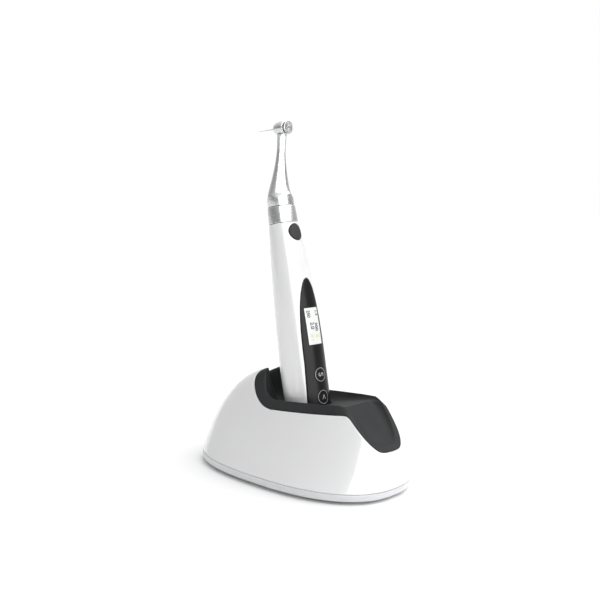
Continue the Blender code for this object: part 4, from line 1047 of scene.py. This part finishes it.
def wrapped(name, hand, outline, centre, lift, thick, edge=0.12, crown=0.0, sharp=35.0, rings=10):
    """Plate that follows the body's front, made of shrunken copies of an outline."""
    def ring(share, height):
        row = []
        for y, s in outline:
            ys, ss = y * share, centre + (s - centre) * share
            row.append((body_front(hand, ss, ys) + height, ys, ss))
        return row
    half = max(abs(y) for y, _ in outline)
    rim = 1 - edge / half
    shares = [1 - (1 - rim) * t for t in (0.0, 0.12, 0.35, 0.65, 1.0)]
    drops = [edge * (1 - math.sqrt(max(1 - (1 - t) ** 2, 0.0))) for t in (0.0, 0.12, 0.35, 0.65, 1.0)]
    tops = [ring(share, lift - drop) for share, drop in zip(shares, drops)]
    tops += [ring(share, lift + crown * (1 - share ** 2)) for share in spread(rim * 0.92, 0.02, rings)]
    under = [ring(share, lift - thick) for share in (0.02, 0.5, 1.0)]
    return skin(name, under + tops, HANDPIECE, sharp=sharp)


def build_body(hand):
    heights = spread(hand.seam + GAP, hand.end, 90)
    low, high = heights[0], heights[-1]
    outer = [circle(body_radius(hand, low) - 0.25, low, 144)]
    heights = [low + 0.2] + heights[1:-1] + [high - 0.25]
    outer += [circle(body_radius(hand, s), s, 144, (body_bow(hand, s), 0.0)) for s in heights]
    outer.append(circle(body_radius(hand, high) - 0.25, high, 144))
    inner = [circle(body_radius(hand, s) - hand.wall, s, 144, (body_bow(hand, s), 0.0))
             for s in spread(high, low, 14)]
    body = skin("body_skin", outer + inner, HANDPIECE, ring=True)
    boolean(body, prism("window", panel_outline(hand, GAP * 0.6), 4.0, hand.radius * 2, HANDPIECE))
    clearance = oval(hand.button_half_width + SLIDE, hand.button_half_height + SLIDE, hand.button_s)
    boolean(body, prism("window", clearance, 3.0, hand.radius * 2, HANDPIECE))
    return finish(body, white_shell(), "handpiece", "white_plastic", "body_shell")


def build_tail(hand):
    rim = body_radius(hand, hand.seam)
    plug = rim - hand.wall - GAP
    outline = soft_outline([(rim - 4.2, hand.tail), (rim - 1.4, hand.tail + 0.2), (rim - 0.35, hand.tail + 1.7),
                            (rim, hand.seam), (plug, hand.seam), (plug, hand.seam + 1.6),
                            (plug - 1.5, hand.seam + 1.6), (plug - 1.5, hand.tail + 2.4)],
                           [1.0, 1.2, 0.2, 0.0, 0.3, 0.0], 5)
    tail = turned("tail_skin", outline, HANDPIECE, steps=128)
    return finish(tail, white_shell(), "handpiece", "white_plastic", "tail_cap")


def build_panel(hand):
    across = 36
    rows = []
    for s in panel_heights(hand, hand.panel_low, hand.panel_top - 0.05):
        half = panel_half(hand, s)
        top = []
        for k in range(across + 1):
            y = half * math.sin(math.pi / 2 * (2 * k / across - 1))
            depth = min((half - abs(y)) / 0.8, (hand.panel_top - s) / 1.2, 1.0)
            top.append((body_front(hand, s, y) + hand.panel_proud - 0.3 * (1 - depth) ** 2, y, s))
        row = top + [(body_front(hand, s, y) + hand.panel_proud - hand.panel_thick, y, s)
                     for _, y, _ in reversed(top)]
        rows.append(row)
    panel = skin("panel_skin", rows, HANDPIECE, sharp=30.0)
    for i in range(3):
        hole = oval(hand.key_radius + 0.2, hand.key_radius + 0.2, hand.key_first - i * hand.key_pitch)
        boolean(panel, prism("hole", hole, 4.0, hand.radius * 2, HANDPIECE))
    window = closer(rounded_rectangle(hand.screen_half_width - GAP * 0.5, hand.screen_half_height - GAP * 0.5,
                                      hand.screen_s, 0.35))
    boolean(panel, prism("hole", window, 4.0, hand.radius * 2, HANDPIECE))
    return finish(panel, black_panel(), "handpiece", "black_gloss", "display_panel")


def printed_text(name, hand, text, size, y, s, lift, turn=-90.0, bold=0.0):
    """Flat mark on the body's front: text turned in its plane, then bent round the body."""
    curve = bpy.data.curves.new(name, "FONT")
    curve.body = text
    curve.size = size
    curve.align_x = "CENTER"
    curve.align_y = "CENTER"
    curve.extrude = 0.01
    curve.offset = bold
    holder = bpy.data.objects.new(name, curve)
    bpy.context.collection.objects.link(holder)
    mesh = settled_mesh(holder)
    bpy.data.objects.remove(holder, do_unlink=True)
    bm = bmesh.new()
    bm.from_mesh(mesh)
    bmesh.ops.remove_doubles(bm, verts=bm.verts, dist=1e-5)
    bmesh.ops.subdivide_edges(bm, edges=[e for e in bm.edges if e.calc_length() > 0.8], cuts=1)
    a = math.radians(turn)
    for vert in bm.verts:
        u, v, w = vert.co
        across = y + u * math.cos(a) - v * math.sin(a)
        along = s + u * math.sin(a) + v * math.cos(a)
        vert.co = (body_front(hand, along, across) + lift + w, across, along)
    return as_piece(name, bm, HANDPIECE)


def band(name, hand, outer, inner, lift, thick=0.02):
    """Printed band between two outlines with the same number of points."""
    rows = []
    for outline, height in ((outer, 0.0), (outer, thick), (inner, thick), (inner, 0.0)):
        rows.append([(body_front(hand, s, y) + lift + height, y, s) for y, s in outline])
    return skin(name, rows, HANDPIECE, ring=True)


def joined(name, pieces):
    """One object made of several."""
    bm = bmesh.new()
    for piece in pieces:
        bm.from_mesh(piece.data)
        bpy.data.objects.remove(piece, do_unlink=True)
    mesh = bpy.data.meshes.new(name)
    bm.to_mesh(mesh)
    bm.free()
    mesh.shade_smooth()
    mesh.set_sharp_from_angle(angle=math.radians(35.0))
    made = bpy.data.objects.new(name, mesh)
    bpy.context.collection.objects.link(made)
    return made


def build_screen(hand):
    outline = closer(rounded_rectangle(hand.screen_half_width - GAP, hand.screen_half_height - GAP,
                                       hand.screen_s, 0.3))
    screen = wrapped("screen_skin", hand, outline, hand.screen_s, hand.panel_proud - 0.08, 1.9, edge=0.06)
    finish(screen, screen_with_painted_glow("Display face", finishes().screen), "handpiece", "screen_glass", "display_screen")
    lift = hand.panel_proud - 0.07
    middle = hand.screen_s
    words = [("1.4", 3.0, 3.4, 7.9), ("250", 3.0, -3.3, 7.6), ("300", 3.6, 1.8, -0.6), ("2.0", 3.6, -1.7, 0.2)]
    digits = [printed_text("digits", hand, text, size, y, middle + s, lift, bold=0.1)
              for text, size, y, s in words]
    finish(joined("screen_digits", digits), ink("Display ink", finishes().digits), "handpiece", "screen_glass")
    marks = []
    for y, s, wide, tall in ((-3.6, -5.6, 0.35, 1.4), (-2.7, -5.9, 0.35, 1.1), (-1.8, -6.2, 0.35, 0.8),
                             (1.2, -6.4, 0.9, 0.9), (3.3, -6.2, 0.5, 1.2), (-2.7, -8.4, 1.1, 0.3)):
        outline = closer(rounded_rectangle(wide, tall, middle + s, 0.15))
        outline = [(py + y, ps) for py, ps in outline]
        core = [(y + (py - y) * 0.35, middle + s + (ps - middle - s) * 0.6) for py, ps in outline]
        marks.append(band("mark", hand, outline, core, lift))
    finish(joined("screen_icons", marks), ink("Icon ink", finishes().icons), "handpiece", "screen_glass")


def build_keys(hand):
    """Three keys, each with a printed ring and its mark."""
    signs = {"key_set": "S", "key_left": "<", "key_right": ">"}
    print_look = ink("Key print", finishes().print)
    for i, (name, sign) in enumerate(signs.items()):
        centre = hand.key_first - i * hand.key_pitch
        outline = oval(hand.key_radius, hand.key_radius, centre)
        key = wrapped(name + "_skin", hand, outline, centre, hand.panel_proud + 0.02, 2.0, edge=0.15, crown=0.05)
        finish(key, black_panel(), name, "black_gloss", name)
        lift = hand.panel_proud + 0.025
        ring = band("ring", hand, oval(4.2, 4.2, centre, 96), oval(3.93, 3.93, centre, 96), lift + 0.01, 0.03)
        mark = printed_text("mark", hand, sign, 5.6, 0.0, centre, lift + 0.055, bold=0.03)
        finish(joined(name + "_print", [ring, mark]), print_look, name, "black_gloss")


def build_button(hand):
    """Power button with a fine raised weave of pips."""
    outline = oval(hand.button_half_width, hand.button_half_height, hand.button_s, 96)
    button = wrapped("power_button_skin", hand, outline, hand.button_s, 0.55, 2.4, edge=0.5, crown=0.35)
    return finish(button, pip_rubber(), "power_button", "dark_rubber", "power_button")


def pip_rubber():
    """Grey rubber with rows of small pips."""
    name = "Pip rubber"
    if name in bpy.data.materials:
        return bpy.data.materials[name]
    look = soft_rubber().copy()
    look.name = name
    tree = look.node_tree
    where = next(n for n in tree.nodes if n.type == "TEX_COORD").outputs["Object"]
    bump = next(n for n in tree.nodes if n.type == "BUMP")
    pips = tree.nodes.new("ShaderNodeTexVoronoi")
    pips.inputs["Scale"].default_value = 1500.0
    pips.inputs["Randomness"].default_value = 0.15
    tree.links.new(where, pips.inputs["Vector"])
    tree.links.new(pips.outputs["Distance"], bump.inputs["Height"])
    bump.inputs["Distance"].default_value = 0.00025
    bump.inputs["Strength"].default_value = 0.8
    return look


def build_ring(hand, angle):
    low = hand.end + GAP
    top = low + angle.ring_length
    bore = 5.0
    outline = soft_outline([(bore, low), (hand.end_radius - 0.2, low), (hand.end_radius - 0.05, low + 0.2),
                            (angle.ring_top + 0.1, top - 0.35), (angle.ring_top - 0.25, top), (bore, top)],
                           [0.2, 0.15, 0.3, 0.15], 4)
    ring = turned("front_ring_skin", outline, HANDPIECE, ring=True, steps=160)
    return finish(ring, steel("Ring steel", HANDPIECE), "handpiece", "polished_steel", "front_ring")


# ---------------------------------------------------------------- contra-angle
def neck_radius(angle, n):
    share = max(1 - n / angle.taper, 0.0)
    radius = angle.neck + angle.flare * share ** 1.6
    if n > angle.taper:
        rise = (n - angle.taper) / (HEAD_N - angle.head - angle.taper)
        radius += (angle.neck_top - angle.neck) * min(rise, 1.0) ** 2
    return radius


def neck_row(n, radius, steps=128):
    """Ring across the bent neck, in the handpiece's frame."""
    turn = BEND * smooth(-3.0, 6.0, n)
    if n >= 0:
        centre = Vector((math.sin(BEND) * n, 0, BEND_S + math.cos(BEND) * n))
    else:
        centre = Vector((0, 0, BEND_S + n))
    across = Vector((math.cos(turn), 0, -math.sin(turn)))
    row = []
    for i in range(steps):
        t = 2 * math.pi * i / steps
        reach = radius(t) if callable(radius) else radius
        row.append(centre + across * (reach * math.cos(t)) + Vector((0, reach * math.sin(t), 0)))
    return row


def build_neck(hand, angle):
    low = hand.end + GAP + angle.ring_length + GAP - BEND_S
    top = HEAD_N - angle.head - GAP
    skirt = angle.skirt

    def scalloped(n):
        grow = neck_radius(angle, n)
        return lambda t: min(skirt, grow * (1 + 0.05 * math.cos(4 * t)))

    groove = low + 4.6
    outer = [neck_row(low, skirt - 0.2), neck_row(low + 0.06, skirt - 0.05), neck_row(low + 0.25, skirt),
             neck_row(groove - 0.15, skirt), neck_row(groove - 0.1, skirt - 0.08),
             neck_row(groove + 0.1, skirt - 0.08), neck_row(groove + 0.15, skirt)]
    levels = spread(groove + 0.6, 6.0, 30) + spread(6.5, top - 0.2, 44)
    outer += [neck_row(n, scalloped(n)) for n in levels]
    outer.append(neck_row(top, neck_radius(angle, top) - 0.15))
    bush = 6.1
    bores = [(top, 2.15), (top - 3.6, 2.15), (top - 4.0, 1.75), (22.0, 1.75), (16.0, 2.2), (9.0, 3.6),
             (4.5, 4.2), (1.5, 4.2), (0.0, bush), (low, bush)]
    inner = [neck_row(n, radius) for n, radius in bores]
    neck = skin("neck_skin", outer + inner, HANDPIECE, ring=True, sharp=32.0)
    return finish(neck, steel("Neck steel", NECK), "contra_angle", "polished_steel", "neck_sleeve")


def build_housing(angle):
    nose, rear, radius = angle.nose, angle.rear, angle.head
    outline = soft_outline([(1.68, -nose + 0.9), (1.68, -nose), (2.5, -nose + 0.15), (3.55, -nose + 1.3),
                            (radius, -nose + 4.6), (radius, rear - 0.75), (radius - 0.12, rear - 0.7),
                            (radius - 0.12, rear - 0.55), (radius, rear - 0.5), (radius - 0.3, rear),
                            (3.6, rear), (3.6, -2.9), (3.0, -4.0), (3.0, -nose + 0.9)],
                           [0.2, 0.6, 1.3, 1.6, 0.0, 0.0, 0.0, 0.05, 0.1, 0.0, 0.0, 0.0, 0.0], 6)
    housing = turned("head_skin", outline, HEAD, ring=True, steps=144, sharp=28.0)
    opening = turned("opening", [(2.15, HEAD_N - radius - 2.0), (2.15, HEAD_N - 1.0)], NECK, steps=48)
    boolean(housing, opening)
    collar = turned("collar", soft_outline([(2.2, HEAD_N - radius - 0.18),
                                            (angle.neck_top + 0.12, HEAD_N - radius - 0.18),
                                            (angle.neck_top + 0.12, HEAD_N - radius + 0.35),
                                            (2.3, HEAD_N - radius + 0.8), (2.2, HEAD_N - radius + 0.8)],
                                           [0.1, 0.3, 0.1], 3), NECK, ring=True, steps=96)
    housing = joined("head_skin", [housing, collar])
    return finish(housing, steel("Head steel", HEAD, 0.24), "contra_angle", "polished_steel", "head_housing")


def build_cap(angle):
    """Push-button cap with radial ribs let into its face."""
    rear, face, radius = angle.rear, angle.cap_face, angle.cap
    flange = face - 1.05
    outline = soft_outline([(3.25, rear - 0.1), (3.25, flange), (radius - 0.1, flange), (radius, flange + 0.12),
                            (radius, face - 0.28), (radius - 0.32, face), (radius - 0.5, face),
                            (radius - 0.6, face - 0.1), (0.4, face - 0.05)],
                           [0.0, 0.05, 0.05, 0.2, 0.1, 0.05, 0.05], 4)
    cap = turned("cap_body", outline, HEAD, steps=144)
    look = metal("Cap steel", (0.42, 0.425, 0.43), 0.38, HEAD)
    finish(cap, look, "head_cap", "polished_steel", "head_cap")
    span = radius - 1.25
    outline = [(0.0, -0.055), (span, -0.085), (span, 0.085), (0.0, 0.055)]
    rows = [[(x - span / 2, y * share, z) for x, y in outline]
            for share, z in ((1.0, -0.03), (1.0, 0.03), (0.5, 0.075))]
    rib = skin("rib", rows)
    place = HEAD @ Matrix.Translation((0.0, 0.0, face - 0.08))
    ribs = repeated("cap_ribs", "RING", rib, look, radius - 0.65 - span / 2, count=angle.ribs, place=place)
    finish(ribs, look, "head_cap", "polished_steel")
    return cap


def build_file(angle):
    """Latch shank and a tapered blade with two helical flutes."""
    nose = angle.nose
    start = -nose - 0.5
    rows = [circle(1.175, 1.8, 48), circle(1.175, start + 0.4, 48), circle(1.0, start, 48),
            circle(0.62, start - 0.05, 48), circle(0.55, start - 1.6, 48)]
    count = 120
    for i in range(count + 1):
        share = i / count
        z = start - 2.0 - (angle.blade - 2.5) * share
        core = 0.42 - 0.30 * share
        row = []
        for k in range(48):
            t = 2 * math.pi * k / 48
            flute = 1 - 0.30 * smooth(0.0, 0.06, share) * (0.5 + 0.5 * math.cos(2 * (t - 26.0 * share)))
            row.append((core * flute * math.cos(t), core * flute * math.sin(t), z))
        rows.append(row)
    rows.append(circle(0.02, -nose - angle.blade, 48))
    blade = skin("file_skin", rows, HEAD)
    return finish(blade, steel("File steel", HEAD, 0.24), "file", "brushed_steel", "file")


# ---------------------------------------------------------------- stage
def look_at(place, target):
    return (target - place).to_track_quat("-Z", "Y").to_euler()


def soft_light(name, place, target, size, watts, tint=(1.0, 1.0, 1.0)):
    lamp = bpy.data.lights.new(name, "AREA")
    lamp.shape = "RECTANGLE"
    lamp.size, lamp.size_y = size
    lamp.energy = watts
    lamp.color = tint
    holder = bpy.data.objects.new(name, lamp)
    holder.location = place
    holder.rotation_euler = look_at(Vector(place), Vector(target))
    bpy.context.collection.objects.link(holder)
    return holder


def sky_light(name, direction, strength):
    """Wide light from above, as bright over the whole floor."""
    lamp = bpy.data.lights.new(name, "SUN")
    lamp.energy = strength
    lamp.angle = math.radians(80.0)
    holder = bpy.data.objects.new(name, lamp)
    holder.rotation_euler = look_at(Vector(direction), Vector((0.0, 0.0, 0.0)))
    bpy.context.collection.objects.link(holder)
    return holder


def facing_share(tree, way, direction, low, high):
    """How much a direction in the surroundings points along another, from 0 to 1."""
    dot = tree.nodes.new("ShaderNodeVectorMath")
    dot.operation = "DOT_PRODUCT"
    dot.inputs[1].default_value = direction
    tree.links.new(way, dot.inputs[0])
    share = tree.nodes.new("ShaderNodeMapRange")
    share.inputs["From Min"].default_value = low
    share.inputs["From Max"].default_value = high
    tree.links.new(dot.outputs["Value"], share.inputs["Value"])
    return share.outputs["Result"]


def build_surroundings(scene, stage):
    """White room that is dimmer in reflections and as a source of light."""
    world = bpy.data.worlds.new("surroundings")
    world.use_nodes = True
    tree = world.node_tree
    shader = tree.nodes["Background"]
    ray = tree.nodes.new("ShaderNodeLightPath")
    way = tree.nodes.new("ShaderNodeTexCoord").outputs["Generated"]
    behind = facing_share(tree, way, (-0.7, 0.7, 0.0), 0.1, 1.0)
    above = facing_share(tree, way, (0.0, 0.0, 1.0), 0.15, 0.75)
    mirror = maths(tree, "ADD", maths(tree, "MULTIPLY", behind, 0.5), maths(tree, "MULTIPLY", above, 0.45))
    mirror = maths(tree, "ADD", mirror, stage.room - stage.sky)
    seen = maths(tree, "MULTIPLY", ray.outputs["Is Camera Ray"], 1.0 - stage.sky)
    mirrored = maths(tree, "MULTIPLY", ray.outputs["Is Glossy Ray"], mirror)
    level = maths(tree, "ADD", maths(tree, "ADD", seen, mirrored), stage.sky)
    tree.links.new(level, shader.inputs["Strength"])
    shader.inputs["Color"].default_value = (1.0, 1.0, 1.0, 1.0)
    scene.world = world


def build_floor():
    bm = bmesh.new()
    bmesh.ops.create_circle(bm, cap_ends=True, segments=64, radius=6.0)
    mesh = bpy.data.meshes.new("floor")
    bm.to_mesh(mesh)
    bm.free()
    floor = bpy.data.objects.new("floor", mesh)
    bpy.context.collection.objects.link(floor)
    look = bpy.data.materials.new("Pale floor")
    look.use_nodes = True
    shader = look.node_tree.nodes["Principled BSDF"]
    shader.inputs["Base Color"].default_value = (0.97, 0.97, 0.97, 1.0)
    shader.inputs["Roughness"].default_value = 0.6
    mesh.materials.append(look)
    return floor


def build_camera(stage):
    lens = bpy.data.cameras.new("camera")
    lens.lens = stage.lens
    lens.sensor_width = 36.0
    lens.clip_start = 0.01
    camera = bpy.data.objects.new("camera", lens)
    camera.location = Vector(stage.camera)
    camera.rotation_euler = look_at(Vector(stage.camera), Vector(stage.target))
    bpy.context.collection.objects.link(camera)
    bpy.context.scene.camera = camera


# ---------------------------------------------------------------- operators
class ENDO_OT_base_shell(bpy.types.Operator):
    """Build the white shell of the charging base"""
    bl_idname = "endo.base_shell"
    bl_label = "Base shell"

    def execute(self, context):
        build_shell(in_mm(context.scene.endo_base))
        return {"FINISHED"}


class ENDO_OT_base_liner(bpy.types.Operator):
    """Build the charcoal liner with its socket and scoop"""
    bl_idname = "endo.base_liner"
    bl_label = "Base liner"

    def execute(self, context):
        scene = context.scene
        build_liner(in_mm(scene.endo_base), in_mm(scene.endo_liner), in_mm(scene.endo_handpiece))
        return {"FINISHED"}


class ENDO_OT_base_plate(bpy.types.Operator):
    """Build the plate, its feet and screws, and the inlet's pin"""
    bl_idname = "endo.base_plate"
    bl_label = "Base plate"

    def execute(self, context):
        sizes = in_mm(context.scene.endo_base)
        build_plate(sizes)
        build_feet(sizes)
        build_screws(sizes)
        build_inlet_pin()
        return {"FINISHED"}


class ENDO_OT_body(bpy.types.Operator):
    """Build the handpiece's white body and tail"""
    bl_idname = "endo.body"
    bl_label = "Handpiece body"

    def execute(self, context):
        hand = in_mm(context.scene.endo_handpiece)
        build_body(hand)
        build_tail(hand)
        return {"FINISHED"}


class ENDO_OT_panel(bpy.types.Operator):
    """Build the black panel and its display"""
    bl_idname = "endo.panel"
    bl_label = "Display panel"

    def execute(self, context):
        hand = in_mm(context.scene.endo_handpiece)
        build_panel(hand)
        build_screen(hand)
        return {"FINISHED"}


class ENDO_OT_keys(bpy.types.Operator):
    """Build the panel's keys and the power button"""
    bl_idname = "endo.keys"
    bl_label = "Keys and button"

    def execute(self, context):
        hand = in_mm(context.scene.endo_handpiece)
        build_keys(hand)
        build_button(hand)
        return {"FINISHED"}


class ENDO_OT_contra_angle(bpy.types.Operator):
    """Build the steel ring, the neck, the head, its cap and the file"""
    bl_idname = "endo.contra_angle"
    bl_label = "Contra-angle"

    def execute(self, context):
        hand = in_mm(context.scene.endo_handpiece)
        angle = in_mm(context.scene.endo_angle)
        build_ring(hand, angle)
        build_neck(hand, angle)
        build_housing(angle)
        build_cap(angle)
        build_file(angle)
        return {"FINISHED"}


class ENDO_OT_packed_pieces(bpy.types.Operator):
    """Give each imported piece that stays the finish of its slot"""
    bl_idname = "endo.packed_pieces"
    bl_label = "Packed pieces"

    def execute(self, context):
        looks = plain_looks()
        for entry in frame["record"]["subparts"]:
            item = frame["nodes"][entry["node"]]
            for place in item.material_slots:
                place.material = looks[entry["material_slot"]]
        return {"FINISHED"}


class ENDO_OT_stage(bpy.types.Operator):
    """Build the floor, the lights, the surroundings and the camera"""
    bl_idname = "endo.stage"
    bl_label = "Stage"

    def execute(self, context):
        stage = context.scene.endo_stage
        build_floor()
        middle = (0.0, 0.0, 0.11)
        sky_light("sky", (0.35, 0.30, 0.9), stage.key)
        soft_light("front_panel", (0.80, -0.26, 0.30), middle, (1.15, 1.3), stage.fill)
        gloss = soft_light("gloss_panel", (0.82, -0.27, 0.25), middle, (1.15, 1.5), stage.gloss)
        gloss.visible_diffuse = False
        gloss.rotation_euler.rotate_axis("Z", math.radians(18.0))
        build_surroundings(context.scene, stage)
        context.scene.view_settings.view_transform = "Standard"
        build_camera(stage)
        return {"FINISHED"}


class ENDO_PT_panel(bpy.types.Panel):
    """Lists the operators that build the motor"""
    bl_idname = "ENDO_PT_panel"
    bl_label = "Endodontic Motor"
    bl_space_type = "VIEW_3D"
    bl_region_type = "UI"
    bl_category = "Endo Motor"

    def draw(self, context):
        for step in STEPS:
            self.layout.operator(step.bl_idname)


STEPS = (ENDO_OT_packed_pieces, ENDO_OT_base_shell, ENDO_OT_base_liner, ENDO_OT_base_plate, ENDO_OT_body,
         ENDO_OT_panel, ENDO_OT_keys, ENDO_OT_contra_angle, ENDO_OT_stage)
SETTINGS = {"endo_base": EndoBaseSizes, "endo_liner": EndoLinerSizes, "endo_handpiece": EndoHandpieceSizes,
            "endo_angle": EndoAngleSizes, "endo_finishes": EndoFinishes, "endo_stage": EndoStage}


def register():
    for item in (*SETTINGS.values(), *STEPS, ENDO_PT_panel):
        bpy.utils.register_class(item)
    for name, group in SETTINGS.items():
        setattr(bpy.types.Scene, name, PointerProperty(type=group))


def unregister():
    for name in SETTINGS:
        delattr(bpy.types.Scene, name)
    for item in reversed((*SETTINGS.values(), *STEPS, ENDO_PT_panel)):
        bpy.utils.unregister_class(item)


def main():
    register()
    bpy.ops.endo.packed_pieces()
    bpy.ops.endo.base_shell()
    bpy.ops.endo.base_liner()
    bpy.ops.endo.base_plate()
    bpy.ops.endo.body()
    bpy.ops.endo.panel()
    bpy.ops.endo.keys()
    bpy.ops.endo.contra_angle()
    bpy.ops.endo.stage()


if __name__ == "__main__":
    main()
